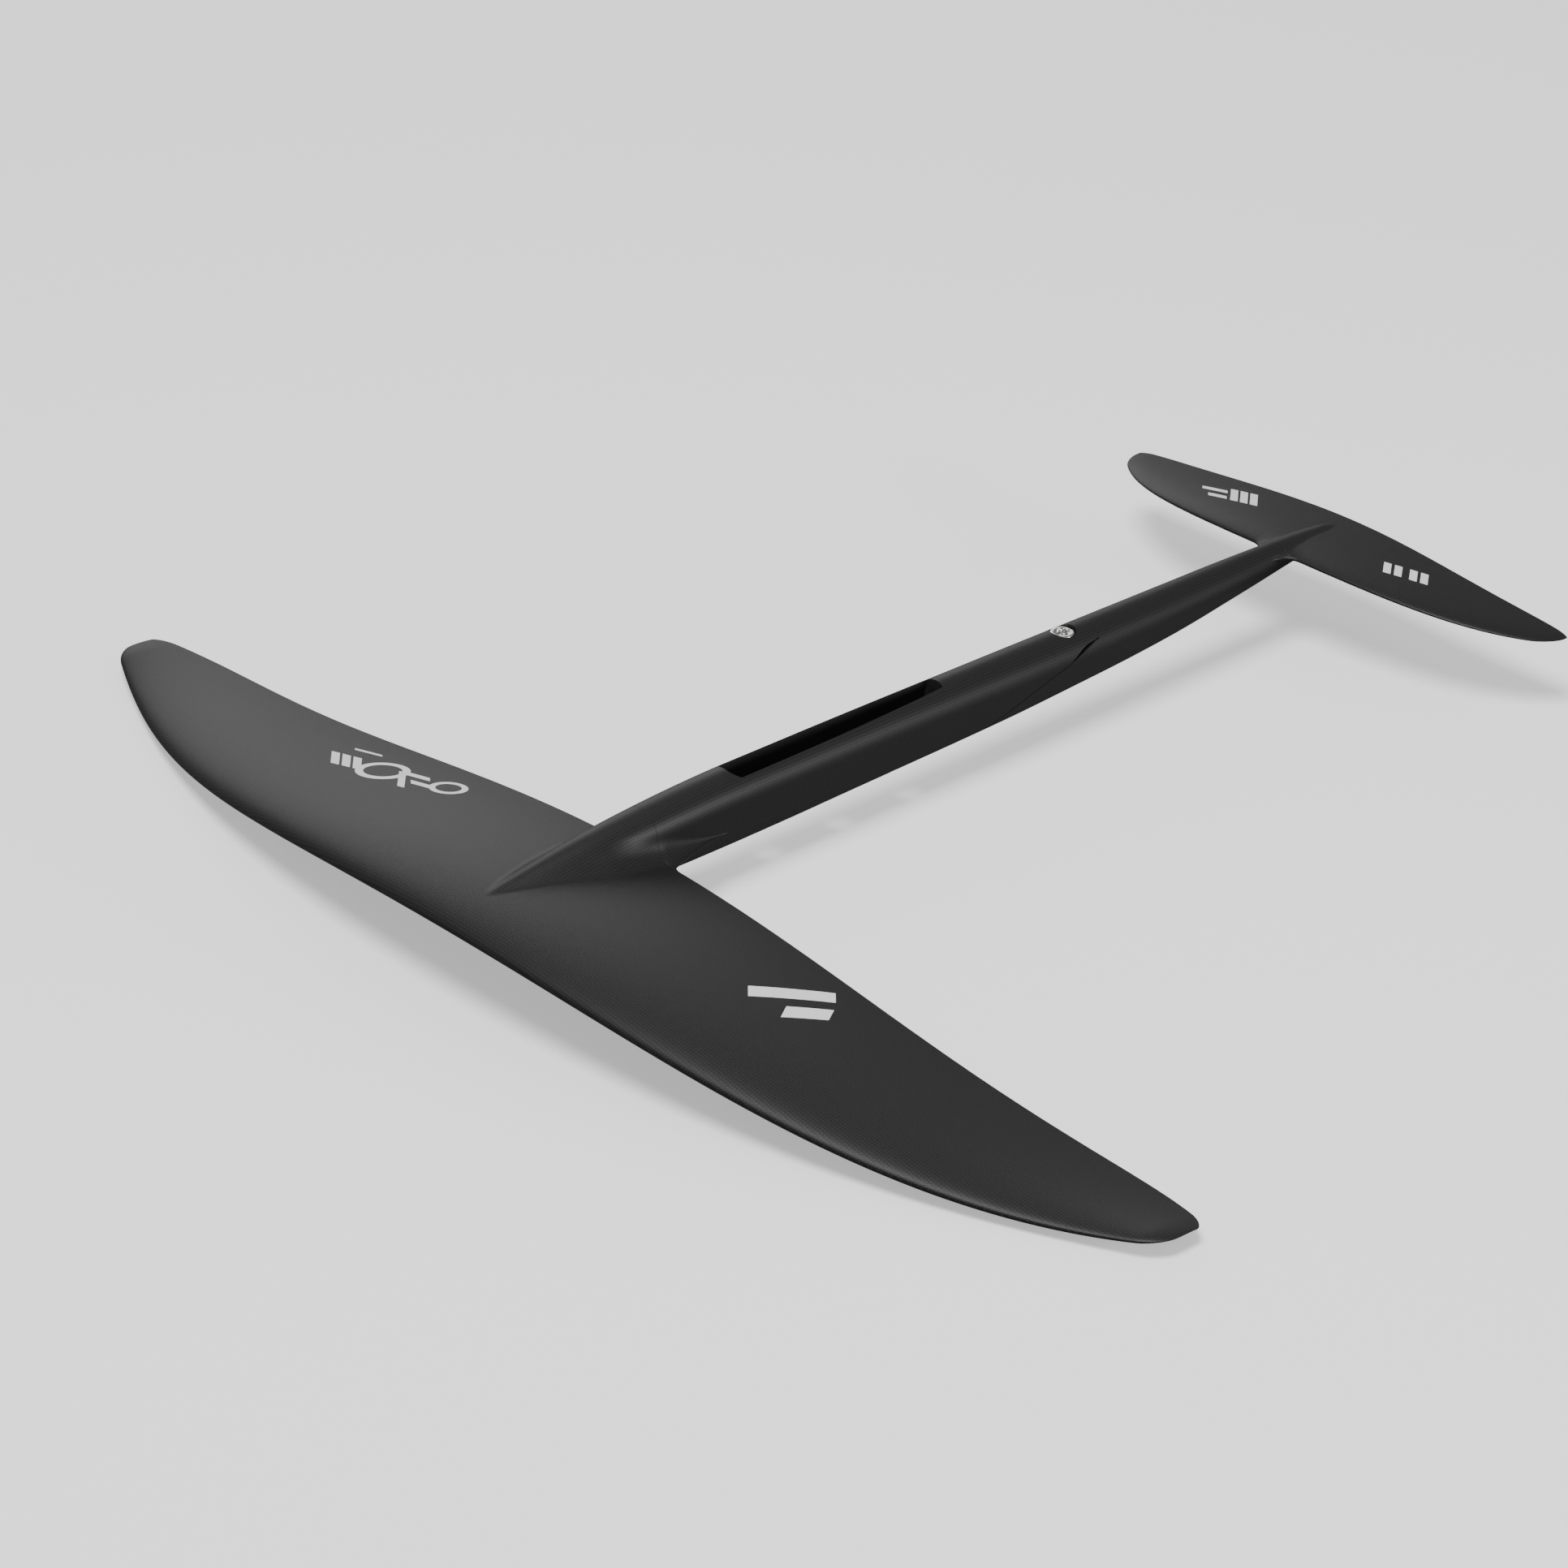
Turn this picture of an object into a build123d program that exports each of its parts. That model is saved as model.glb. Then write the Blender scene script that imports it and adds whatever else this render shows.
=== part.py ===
"""Hydrofoil wing set: front wing with its fuselage and mast socket, and a tail wing
with its fuselage, joined on a sloping scarf by one star-drive screw.

X runs along the span, Y aft and Z up. The origin is the middle of the mast socket's
floor. Sketches use three distances: span (along X), aft (behind the front wing's
leading edge at the root) and height (above the front wing's root chord line).
"""
from build123d import *
import math
import os

os.makedirs("parts", exist_ok=True)

# Where the origin lies
MAST_AFT = 264.0          # middle of the mast socket, aft of the front leading edge
FLOOR_HEIGHT = -6.0       # floor of the mast socket

# Front wing
WING_HALF_SPAN = 412.8
WING_THICKNESS_RATIO = 0.115
WING_CAMBER = 0.015
WING_TIP_LENGTH = 13.0    # stretch over which the tip is rounded off
WING_SKIN = 1.5           # thins towards the tips
CAP_THICKNESS = 1.3
SPAR_FRONT = 0.30         # fractions of the chord
SPAR_BACK = 0.44
FOAM_BACK = 0.68
CORE_BACK = 0.80
CORE_REACH = 0.93         # fraction of the half span that is not solid skin

# Tail wing
TAIL_HALF_SPAN = 166.2
TAIL_HEIGHT = 18.0
TAIL_DROP = 13.2
TAIL_TIP_LENGTH = 11.0
TAIL_THICKNESS_RATIO = 0.10
TAIL_SKIN = 0.8
TAIL_SPAR_AFT = 632.0
TAIL_SPAR_WIDTH = 11.0
TAIL_SPAR_REACH = 120.0
TAIL_CORE_REACH = 0.88
# Seam of the tail's two mould halves: aft, and depth below the tail wing
TAIL_SEAM = [(300.0, 16.0), (540.0, 9.0), (600.0, 0.0)]

EDGE_THICKNESS = 0.7      # at every trailing edge
BOND = 0.05               # glue line between bonded pieces
BOND_SHARE = 0.001        # the same along the chord, as a fraction of it
TIP_SHARES = [0.0, 0.3, 0.55, 0.75, 0.88, 0.96, 0.995]

# Fuselage: crown height, crown radius, belly height and belly radius at even
# stations from the nose to the tail
FUSELAGE_NOSE = 10.0
FUSELAGE_TAIL = 652.0
FUSELAGE = [
    (6.5, 2.6, 0.0, 2.6),
    (14.9, 8.2, -10.0, 7.8),
    (20.9, 11.5, -14.8, 10.6),
    (24.4, 13.4, -16.9, 12.0),
    (26.2, 14.0, -17.3, 12.0),
    (26.4, 14.0, -16.9, 12.0),
    (26.4, 14.0, -16.0, 12.0),
    (26.2, 14.0, -15.1, 12.0),
    (25.9, 14.0, -14.2, 12.0),
    (25.6, 14.0, -12.9, 11.9),
    (25.2, 13.7, -10.7, 11.5),
    (24.9, 13.0, -8.2, 10.9),
    (24.7, 12.0, -4.4, 10.1),
    (24.5, 10.4, 1.4, 9.0),
    (23.8, 7.3, 7.4, 6.5),
    (20.2, 2.2, 15.0, 1.9),
]
FUSELAGE_SKIN = 1.6
BELLY_START = 150.0       # where the belly's skin takes over from the wing's

# Mast socket and the holes for the mast's screws
SOCKET_LENGTH = 152.0
SOCKET_WIDTH = 20.4
SOCKET_CORNER = 8.5
LINER = 1.2
LINER_FLOOR = 2.0
MAST_HOLE_RADIUS = 4.25
MAST_HOLE_SPACING = 50.0
MAST_HOLE_COUNT = 3
SLEEVE_RADIUS = 9.4
COUNTERSINK_RADIUS = 8.4
SLEEVE_BELLY = -15.0      # height at which the countersinks reach full width

# Scarf between the two fuselages
SCARF_LOW = (358.0, -12.3)     # aft, height
SCARF_HIGH = (452.0, 19.0)
SCARF_GAP = 0.3
NOTCH_LENGTH = 24.0
NOTCH_HEIGHT = 2.0
NOTCH_INNER_SPAN = 9.0

# Screw that holds the scarf
SCREW_AFT = 435.0
HEAD_TOP = 23.7
HEAD_HEIGHT = 4.5
HEAD_RADIUS = 7.0
HEAD_CHAMFER = 0.5
SHANK_RADIUS = 4.0
SHANK_CLEARANCE = 0.5     # round the shank in the front part
SCREW_TIP = -1.0
WASHER_THICKNESS = 0.8
WASHER_RADIUS = 7.4
WASHER_CLEARANCE = 0.2
SEAT_THICKNESS = 1.2
SEAT_RADIUS = 7.6
FACE_GAP = 0.05
STAR_DEPTH = 3.0
STAR_RADIUS = 3.9
STAR_CORE = 3.04          # radius of the recess between its lobes
STAR_LOBE = 0.8
INSERT_RADIUS = 6.0
INSERT_TOP = 10.2
INSERT_LENGTH = 14.0
RUNNING_GAP = 0.06

FAR = 100.0               # how far cutting tools reach past the object
PAST_TAIL = 800.0         # a station aft of everything


def span_plane(span):
    """Plane across the span. Its sketch coordinates are aft and height."""
    return Plane(origin=(span, -MAST_AFT, -FLOOR_HEIGHT), x_dir=(0, 1, 0), z_dir=(1, 0, 0))


def cross_plane(aft):
    """Plane across the fuselage. Its sketch coordinates are span and height."""
    return Plane(origin=(0, aft - MAST_AFT, -FLOOR_HEIGHT), x_dir=(1, 0, 0), z_dir=(0, -1, 0))


def level_plane(height):
    """Level plane. Its sketch coordinates are span and aft."""
    return Plane(origin=(0, -MAST_AFT, height - FLOOR_HEIGHT))


# --- Shape of the two wings -------------------------------------------------------

def tip_round(span, half_span, length):
    """0 inboard, growing to 1 at the tip along a quarter of an ellipse."""
    into = max(0.0, (span - half_span + length) / length)
    return 1.0 - math.sqrt(max(0.0, 1.0 - into * into))


def wing_chord(span):
    """Leading and trailing edge of the front wing as (aft, height) pairs."""
    span = abs(span)
    q = span / WING_HALF_SPAN
    rounding = tip_round(span, WING_HALF_SPAN, WING_TIP_LENGTH)
    lead = 66.4 * q**2 + 35.3 * q**4 - 7.7 * q**8 + 10.0 * rounding
    trail = 130.7 - 6.7 * q**2 + 37.9 * q**4 - 39.8 * q**8 - 5.0 * rounding
    droop = -89.4 * q**2 + 62.3 * q**4
    slope = -(0.036 + 0.012 * q**2)
    middle = 91.3
    return (lead, droop + slope * (lead - middle)), (trail, droop + slope * (trail - middle))


def tail_chord(span):
    """Leading and trailing edge of the tail wing as (aft, height) pairs."""
    span = abs(span)
    q = span / TAIL_HALF_SPAN
    rounding = tip_round(span, TAIL_HALF_SPAN, TAIL_TIP_LENGTH)
    lead = 604.8 + 21.0 * q**2 + 20.7 * q**4 + 7.3 * q**8 + 8.0 * rounding
    trail = 667.8 - 19.0 * q**2 + 26.7 * q**4 - 9.1 * q**8 - 2.0 * rounding
    height = TAIL_HEIGHT - TAIL_DROP * q**2
    return (lead, height), (trail, height)


def half_thickness(fraction, thickness):
    """Half of the section's thickness at a fraction of the chord."""
    curve = (0.2969 * math.sqrt(fraction) - 0.1260 * fraction - 0.3516 * fraction**2
             + 0.2843 * fraction**3 - 0.1015 * fraction**4)
    return 5 * thickness * curve + EDGE_THICKNESS / 2 * fraction


def wing_profile(plane, chord_ends, ratio, camber, skin=0.0, back=1.0, steps=9):
    """Wing section on a plane across the span, moved in by the skin where one is given."""
    (lead, lead_height), (trail, trail_height) = chord_ends
    chord = trail - lead
    thickness = ratio * chord
    front = 0.0
    if skin:
        front = (skin / (5 * 0.2969 * thickness)) ** 2
    inset = half_thickness(front, thickness)
    upper = []
    lower = []
    for step in range(steps + 1):
        along = 1 - math.cos(math.pi / 2 * step / steps)
        fraction = front + (back - front) * along
        line = lead_height + (trail_height - lead_height) * fraction
        line += 4 * camber * chord * fraction * (1 - fraction)
        half = half_thickness(fraction, thickness) - inset
        upper.append((lead + chord * fraction, line + half))
        lower.append((lead + chord * fraction, line - half))
    with BuildSketch(plane) as profile:
        with BuildLine():
            Spline(*reversed(upper), *lower[1:])
            Line(lower[-1], upper[-1])
        make_face()
    return profile.sketch


def outline(plane, *corners):
    """Straight-sided outline on a plane."""
    with BuildSketch(plane) as profile:
        with BuildLine():
            Polyline(*corners, close=True)
        make_face()
    return profile.sketch


def spans(reach, steps):
    """Even stations from one side to the other."""
    return [reach * step / steps for step in range(-steps, steps + 1)]


def tip_spans(half_span, root):
    """Stations through a rounded tip, closer together towards its end."""
    return [root + (half_span - root) * share for share in TIP_SHARES]


def wing_sections(stations, skin=0.0, back=1.0):
    """Sections of the front wing, inside a skin where one is given."""
    profiles = []
    for span in stations:
        thinned = skin * (1 - 0.5 * abs(span) / WING_HALF_SPAN)
        profiles.append(wing_profile(span_plane(span), wing_chord(span),
                                     WING_THICKNESS_RATIO, WING_CAMBER, thinned, back))
    return profiles


def tail_sections(stations, skin=0.0, back=1.0):
    """Sections of the tail wing, inside a skin where one is given."""
    profiles = []
    for span in stations:
        thinned = skin * (1 - 0.5 * abs(span) / TAIL_HALF_SPAN)
        profiles.append(wing_profile(span_plane(span), tail_chord(span),
                                     TAIL_THICKNESS_RATIO, 0.0, thinned, back))
    return profiles


def chord_slab(front, back):
    """Sections of an upright slab between two fractions of the front wing's chord."""
    profiles = []
    for span in spans(WING_HALF_SPAN - WING_TIP_LENGTH, 7):
        (lead, _), (trail, _) = wing_chord(span)
        near = lead + front * (trail - lead)
        far = lead + back * (trail - lead)
        profiles.append(outline(span_plane(span), (near, -FAR), (far, -FAR),
                                (far, FAR), (near, FAR)))
    return profiles


def above_wing_seam():
    """Sections of the space above the seam of the front wing's two mould halves."""
    profiles = []
    for span in spans(WING_HALF_SPAN + WING_TIP_LENGTH, 8):
        within = min(abs(span), WING_HALF_SPAN - WING_TIP_LENGTH / 2)
        (lead, lead_height), (trail, trail_height) = wing_chord(within)
        profiles.append(outline(span_plane(span), (-FAR, lead_height), (lead, lead_height),
                                (trail, trail_height), (PAST_TAIL, trail_height),
                                (PAST_TAIL, FAR), (-FAR, FAR)))
    return profiles


def above_tail_seam():
    """Sections of the space above the seam of the tail's two mould halves."""
    profiles = []
    for span in spans(TAIL_HALF_SPAN + TAIL_TIP_LENGTH, 6):
        height = tail_chord(span)[0][1]
        seam = [(aft, height - depth) for aft, depth in TAIL_SEAM]
        profiles.append(outline(span_plane(span), *seam, (PAST_TAIL, height),
                                (PAST_TAIL, FAR), (TAIL_SEAM[0][0], FAR)))
    return profiles


# --- Shape of the fuselage --------------------------------------------------------

def fuselage_section(plane, crown, crown_radius, belly, belly_radius):
    """Two arcs joined by their common tangents."""
    top = crown - crown_radius
    low = belly + belly_radius
    lean = math.asin((crown_radius - belly_radius) / (top - low))
    side = math.cos(lean)
    rise = -math.sin(lean)
    high_right = (crown_radius * side, top + crown_radius * rise)
    low_right = (belly_radius * side, low + belly_radius * rise)
    high_left = (-high_right[0], high_right[1])
    low_left = (-low_right[0], low_right[1])
    with BuildSketch(plane) as profile:
        with BuildLine():
            ThreePointArc(high_right, (0, crown), high_left)
            Line(high_left, low_left)
            ThreePointArc(low_left, (0, belly), low_right)
            Line(low_right, high_right)
        make_face()
    return profile.sketch


def fuselage_sections(skin=0.0):
    """Sections of the whole fuselage, inside a skin where one is given."""
    profiles = []
    step = (FUSELAGE_TAIL - FUSELAGE_NOSE) / (len(FUSELAGE) - 1)
    for index, (crown, crown_radius, belly, belly_radius) in enumerate(FUSELAGE):
        aft = FUSELAGE_NOSE + index * step
        inset = min(skin, 0.45 * belly_radius)
        profiles.append(fuselage_section(cross_plane(aft), crown - inset, crown_radius - inset,
                                         belly + inset, belly_radius - inset))
    return profiles


WING_TIP_ROOT = WING_HALF_SPAN - WING_TIP_LENGTH
TAIL_TIP_ROOT = TAIL_HALF_SPAN - TAIL_TIP_LENGTH

with BuildPart() as wing_outer:
    loft(sections=wing_sections(spans(WING_TIP_ROOT, 7)))
    loft(sections=wing_sections(tip_spans(WING_HALF_SPAN, WING_TIP_ROOT)), ruled=True)
    loft(sections=wing_sections(tip_spans(-WING_HALF_SPAN, -WING_TIP_ROOT)), ruled=True)

# Cavity inside the front wing's skins, and what fills it a glue line further in.
with BuildPart() as wing_cavity:
    loft(sections=wing_sections(spans(CORE_REACH * WING_HALF_SPAN, 7), WING_SKIN, CORE_BACK))

with BuildPart() as wing_filling:
    loft(sections=wing_sections(spans(CORE_REACH * WING_HALF_SPAN - BOND, 7),
                                WING_SKIN + BOND, CORE_BACK - BOND_SHARE))

with BuildPart() as web_cavity:
    loft(sections=wing_sections(spans(CORE_REACH * WING_HALF_SPAN, 7),
                                WING_SKIN + CAP_THICKNESS, CORE_BACK))

with BuildPart() as web_filling:
    loft(sections=wing_sections(spans(CORE_REACH * WING_HALF_SPAN - BOND, 7),
                                WING_SKIN + CAP_THICKNESS + BOND, CORE_BACK))

with BuildPart() as tail_outer:
    loft(sections=tail_sections(spans(TAIL_TIP_ROOT, 6)))
    loft(sections=tail_sections(tip_spans(TAIL_HALF_SPAN, TAIL_TIP_ROOT)), ruled=True)
    loft(sections=tail_sections(tip_spans(-TAIL_HALF_SPAN, -TAIL_TIP_ROOT)), ruled=True)

with BuildPart() as tail_cavity:
    loft(sections=tail_sections(spans(TAIL_CORE_REACH * TAIL_HALF_SPAN, 6),
                                TAIL_SKIN, CORE_BACK))

with BuildPart() as tail_filling:
    loft(sections=tail_sections(spans(TAIL_CORE_REACH * TAIL_HALF_SPAN - BOND, 6),
                                TAIL_SKIN + BOND, CORE_BACK - BOND_SHARE))

with BuildPart() as spar_slab:
    loft(sections=chord_slab(SPAR_FRONT, SPAR_BACK))

with BuildPart() as wide_spar_slab:
    loft(sections=chord_slab(SPAR_FRONT - BOND_SHARE, SPAR_BACK + BOND_SHARE))

with BuildPart() as nose_slab:
    loft(sections=chord_slab(-0.4, SPAR_FRONT - BOND_SHARE))

with BuildPart() as aft_slab:
    loft(sections=chord_slab(SPAR_BACK + BOND_SHARE, FOAM_BACK))

with BuildPart() as edge_slab:
    loft(sections=chord_slab(FOAM_BACK + BOND_SHARE, 1.2))

with BuildPart() as wing_upper_half:
    loft(sections=above_wing_seam())

with BuildPart() as tail_upper_half:
    loft(sections=above_tail_seam())

with BuildPart() as fuselage_outer:
    loft(sections=fuselage_sections())

with BuildPart() as fuselage_cavity:
    loft(sections=fuselage_sections(FUSELAGE_SKIN))

with BuildPart() as fuselage_filling:
    loft(sections=fuselage_sections(FUSELAGE_SKIN + BOND))

# Space of the front part: everything ahead of and above the scarf.
with BuildPart() as front_space:
    with BuildSketch(span_plane(0)):
        with BuildLine():
            Polyline((-FAR, -FAR), (SCARF_LOW[0], -FAR), SCARF_LOW, SCARF_HIGH,
                     (SCARF_HIGH[0], FAR), (-FAR, FAR), close=True)
        make_face()
    extrude(amount=WING_HALF_SPAN + FAR, both=True)

with BuildPart() as tail_space:
    with BuildSketch(span_plane(0)):
        with BuildLine():
            Polyline((PAST_TAIL, -FAR), (SCARF_LOW[0] + SCARF_GAP, -FAR),
                     (SCARF_LOW[0] + SCARF_GAP, SCARF_LOW[1] - SCARF_GAP),
                     (SCARF_HIGH[0] + SCARF_GAP, SCARF_HIGH[1] - SCARF_GAP),
                     (SCARF_HIGH[0] + SCARF_GAP, FAR), (PAST_TAIL, FAR),
                     close=True)
        make_face()
    extrude(amount=WING_HALF_SPAN + FAR, both=True)

# Space that the socket and its liner take out of the fuselage.
with BuildPart() as liner_space:
    with BuildSketch(level_plane(FLOOR_HEIGHT - LINER_FLOOR)):
        with Locations((0, MAST_AFT)):
            RectangleRounded(SOCKET_WIDTH + 2 * LINER, SOCKET_LENGTH + 2 * LINER,
                             SOCKET_CORNER + LINER)
    extrude(amount=FAR)

with BuildPart() as socket_space:
    with BuildSketch(level_plane(FLOOR_HEIGHT)):
        with Locations((0, MAST_AFT)):
            RectangleRounded(SOCKET_WIDTH, SOCKET_LENGTH, SOCKET_CORNER)
    extrude(amount=FAR)


def block_space(front, back, low, high, reach=FAR):
    """Box between two stations and two heights, reaching equally far to both sides."""
    with BuildPart() as space:
        with BuildSketch(span_plane(0)):
            with Locations(((front + back) / 2, (low + high) / 2)):
                Rectangle(back - front, high - low)
        extrude(amount=reach, both=True)
    return space.part


MAST_HOLES = [
    (0, MAST_AFT + MAST_HOLE_SPACING * (index - (MAST_HOLE_COUNT - 1) / 2))
    for index in range(MAST_HOLE_COUNT)
]

with BuildPart() as sleeve_space:
    with BuildSketch(level_plane(FLOOR_HEIGHT - LINER_FLOOR)):
        with Locations(*MAST_HOLES):
            Circle(SLEEVE_RADIUS)
    extrude(amount=-FAR / 4)

# Notches where a lever parts the scarf, one on each side.
scarf_slope = (SCARF_HIGH[1] - SCARF_LOW[1]) / (SCARF_HIGH[0] - SCARF_LOW[0])
notch_start = (SCARF_HIGH[0] - NOTCH_LENGTH, SCARF_HIGH[1] - NOTCH_LENGTH * scarf_slope)
notch_peak = (SCARF_HIGH[0] - NOTCH_LENGTH / 2,
              SCARF_HIGH[1] - NOTCH_LENGTH / 2 * scarf_slope + NOTCH_HEIGHT)
with BuildPart() as notch_space:
    with BuildSketch(span_plane(NOTCH_INNER_SPAN)):
        with BuildLine():
            Polyline(notch_start, SCARF_HIGH, notch_peak, close=True)
        make_face()
    extrude(amount=FAR / 4)
    mirror(about=Plane.YZ)

# Stepped hole through the front part's scarf, from the deck down.
SEAT_TOP = HEAD_TOP - HEAD_HEIGHT - WASHER_THICKNESS - FACE_GAP
with BuildPart() as screw_hole:
    with BuildSketch(level_plane(SEAT_TOP - SEAT_THICKNESS)):
        with Locations((0, SCREW_AFT)):
            Circle(SEAT_RADIUS)
    extrude(amount=FAR)
    with BuildSketch(level_plane(SEAT_TOP)):
        with Locations((0, SCREW_AFT)):
            Circle(SHANK_RADIUS + SHANK_CLEARANCE)
    extrude(amount=-FAR)

# Blind hole in the tail part for the threaded insert.
with BuildPart() as insert_hole:
    with BuildSketch(level_plane(INSERT_TOP - INSERT_LENGTH)):
        with Locations((0, SCREW_AFT)):
            Circle(INSERT_RADIUS)
    extrude(amount=FAR)


# --- Front part -------------------------------------------------------------------

with BuildPart() as front_shell:
    add(fuselage_outer.part)
    add(front_space.part, mode=Mode.INTERSECT)
    add(wing_outer.part)
    add(wing_cavity.part, mode=Mode.SUBTRACT)
    add(fuselage_cavity.part, mode=Mode.SUBTRACT)
    add(liner_space.part, mode=Mode.SUBTRACT)
    add(sleeve_space.part, mode=Mode.SUBTRACT)
    add(screw_hole.part, mode=Mode.SUBTRACT)
    add(notch_space.part, mode=Mode.SUBTRACT)

with BuildPart() as front_wing_upper_skin:
    add(front_shell.part)
    add(wing_upper_half.part, mode=Mode.INTERSECT)

# The lower skin is laid up in two: under the wing, and along the belly behind it.
with BuildPart() as lower_shell:
    add(front_shell.part)
    add(wing_upper_half.part, mode=Mode.SUBTRACT)

with BuildPart() as front_wing_lower_skin:
    add(lower_shell.part)
    add(block_space(-FAR, BELLY_START - BOND, -FAR, FAR, WING_HALF_SPAN + FAR),
        mode=Mode.INTERSECT)

with BuildPart() as front_belly_skin:
    add(lower_shell.part)
    add(block_space(BELLY_START, PAST_TAIL, -FAR, FAR, WING_HALF_SPAN + FAR),
        mode=Mode.INTERSECT)

with BuildPart() as spar_cavity:
    add(wing_cavity.part)
    add(wide_spar_slab.part, mode=Mode.INTERSECT)

with BuildPart() as front_wing_spar_web:
    add(web_filling.part)
    add(spar_slab.part, mode=Mode.INTERSECT)

with BuildPart() as spar_caps:
    add(wing_filling.part)
    add(spar_slab.part, mode=Mode.INTERSECT)
    add(web_cavity.part, mode=Mode.SUBTRACT)

with BuildPart() as front_wing_spar_cap_upper:
    add(spar_caps.part)
    add(wing_upper_half.part, mode=Mode.INTERSECT)

with BuildPart() as front_wing_spar_cap_lower:
    add(spar_caps.part)
    add(wing_upper_half.part, mode=Mode.SUBTRACT)

# Everything inside the front fuselage's skin, laid up as blocks round the socket.
with BuildPart() as front_filling:
    add(fuselage_filling.part)
    add(front_space.part, mode=Mode.INTERSECT)
    add(spar_cavity.part, mode=Mode.SUBTRACT)
    add(liner_space.part, mode=Mode.SUBTRACT)
    add(sleeve_space.part, mode=Mode.SUBTRACT)
    add(screw_hole.part, mode=Mode.SUBTRACT)
    add(notch_space.part, mode=Mode.SUBTRACT)

FRONT_BLOCK_END = MAST_AFT - SOCKET_LENGTH / 2 + SOCKET_CORNER
AFT_BLOCK_START = MAST_AFT + SOCKET_LENGTH / 2 - SOCKET_CORNER

with BuildPart() as front_core_nose:
    add(front_filling.part)
    add(block_space(-FAR, FRONT_BLOCK_END - BOND, -FAR, FAR), mode=Mode.INTERSECT)

with BuildPart() as front_core_aft:
    add(front_filling.part)
    add(block_space(AFT_BLOCK_START + BOND, PAST_TAIL, -FAR, FAR), mode=Mode.INTERSECT)

with BuildPart() as front_core_floor:
    add(front_filling.part)
    add(block_space(FRONT_BLOCK_END, AFT_BLOCK_START, -FAR, FLOOR_HEIGHT - BOND),
        mode=Mode.INTERSECT)

with BuildPart() as front_core_walls:
    add(front_filling.part)
    add(block_space(FRONT_BLOCK_END, AFT_BLOCK_START, FLOOR_HEIGHT, FAR), mode=Mode.INTERSECT)

with BuildPart() as front_core_wall_right:
    add(front_core_walls.part)
    split(bisect_by=Plane.YZ, keep=Keep.TOP)

with BuildPart() as front_core_wall_left:
    add(front_core_walls.part)
    split(bisect_by=Plane.YZ, keep=Keep.BOTTOM)

with BuildPart() as wing_foam:
    add(wing_filling.part)
    add(fuselage_cavity.part, mode=Mode.SUBTRACT)

with BuildPart() as nose_foam:
    add(wing_foam.part)
    add(nose_slab.part, mode=Mode.INTERSECT)

with BuildPart() as aft_foam:
    add(wing_foam.part)
    add(aft_slab.part, mode=Mode.INTERSECT)

with BuildPart() as edge_bar:
    add(wing_foam.part)
    add(edge_slab.part, mode=Mode.INTERSECT)

with BuildPart() as front_wing_nose_core_right:
    add(nose_foam.part)
    split(bisect_by=Plane.YZ, keep=Keep.TOP)

with BuildPart() as front_wing_nose_core_left:
    add(nose_foam.part)
    split(bisect_by=Plane.YZ, keep=Keep.BOTTOM)

with BuildPart() as front_wing_aft_core_right:
    add(aft_foam.part)
    split(bisect_by=Plane.YZ, keep=Keep.TOP)

with BuildPart() as front_wing_aft_core_left:
    add(aft_foam.part)
    split(bisect_by=Plane.YZ, keep=Keep.BOTTOM)

with BuildPart() as front_wing_edge_bar_right:
    add(edge_bar.part)
    split(bisect_by=Plane.YZ, keep=Keep.TOP)

with BuildPart() as front_wing_edge_bar_left:
    add(edge_bar.part)
    split(bisect_by=Plane.YZ, keep=Keep.BOTTOM)

with BuildPart() as mast_socket_liner:
    add(fuselage_outer.part)
    add(liner_space.part, mode=Mode.INTERSECT)
    add(socket_space.part, mode=Mode.SUBTRACT)
    with BuildSketch(level_plane(FLOOR_HEIGHT)):
        with Locations(*MAST_HOLES):
            Circle(MAST_HOLE_RADIUS)
    extrude(amount=-2 * LINER_FLOOR, mode=Mode.SUBTRACT)

# Sleeves that take the heads of the mast's screws, trimmed flush with the belly.
with BuildPart() as sleeve_holes:
    with BuildSketch(level_plane(FLOOR_HEIGHT)):
        with Locations(*MAST_HOLES):
            Circle(MAST_HOLE_RADIUS)
    extrude(amount=-FAR)
    countersink_top = COUNTERSINK_RADIUS - MAST_HOLE_RADIUS
    for span, aft in MAST_HOLES:
        with BuildSketch(Plane(origin=(span, aft - MAST_AFT, 0), x_dir=(1, 0, 0),
                               z_dir=(0, -1, 0))):
            with BuildLine():
                Polyline((0, SLEEVE_BELLY - FLOOR_HEIGHT + countersink_top),
                         (MAST_HOLE_RADIUS, SLEEVE_BELLY - FLOOR_HEIGHT + countersink_top),
                         (COUNTERSINK_RADIUS, SLEEVE_BELLY - FLOOR_HEIGHT),
                         (COUNTERSINK_RADIUS, -FAR), (0, -FAR), close=True)
            make_face()
        revolve(axis=Axis((span, aft - MAST_AFT, 0), (0, 0, 1)))

with BuildPart() as mast_screw_sleeves:
    add(sleeve_space.part)
    add(fuselage_outer.part, mode=Mode.INTERSECT)
    add(sleeve_holes.part, mode=Mode.SUBTRACT)

with BuildPart() as joint_screw_seat:
    with BuildSketch(level_plane(SEAT_TOP)):
        with Locations((0, SCREW_AFT)):
            Circle(SEAT_RADIUS)
            Circle(SHANK_RADIUS + SHANK_CLEARANCE, mode=Mode.SUBTRACT)
    extrude(amount=-SEAT_THICKNESS)


# --- Tail part --------------------------------------------------------------------

with BuildPart() as tail_shell:
    add(fuselage_outer.part)
    add(tail_space.part, mode=Mode.INTERSECT)
    add(tail_outer.part)
    add(tail_cavity.part, mode=Mode.SUBTRACT)
    add(fuselage_cavity.part, mode=Mode.SUBTRACT)

with BuildPart() as tail_upper_skin:
    add(tail_shell.part)
    add(tail_upper_half.part, mode=Mode.INTERSECT)

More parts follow.
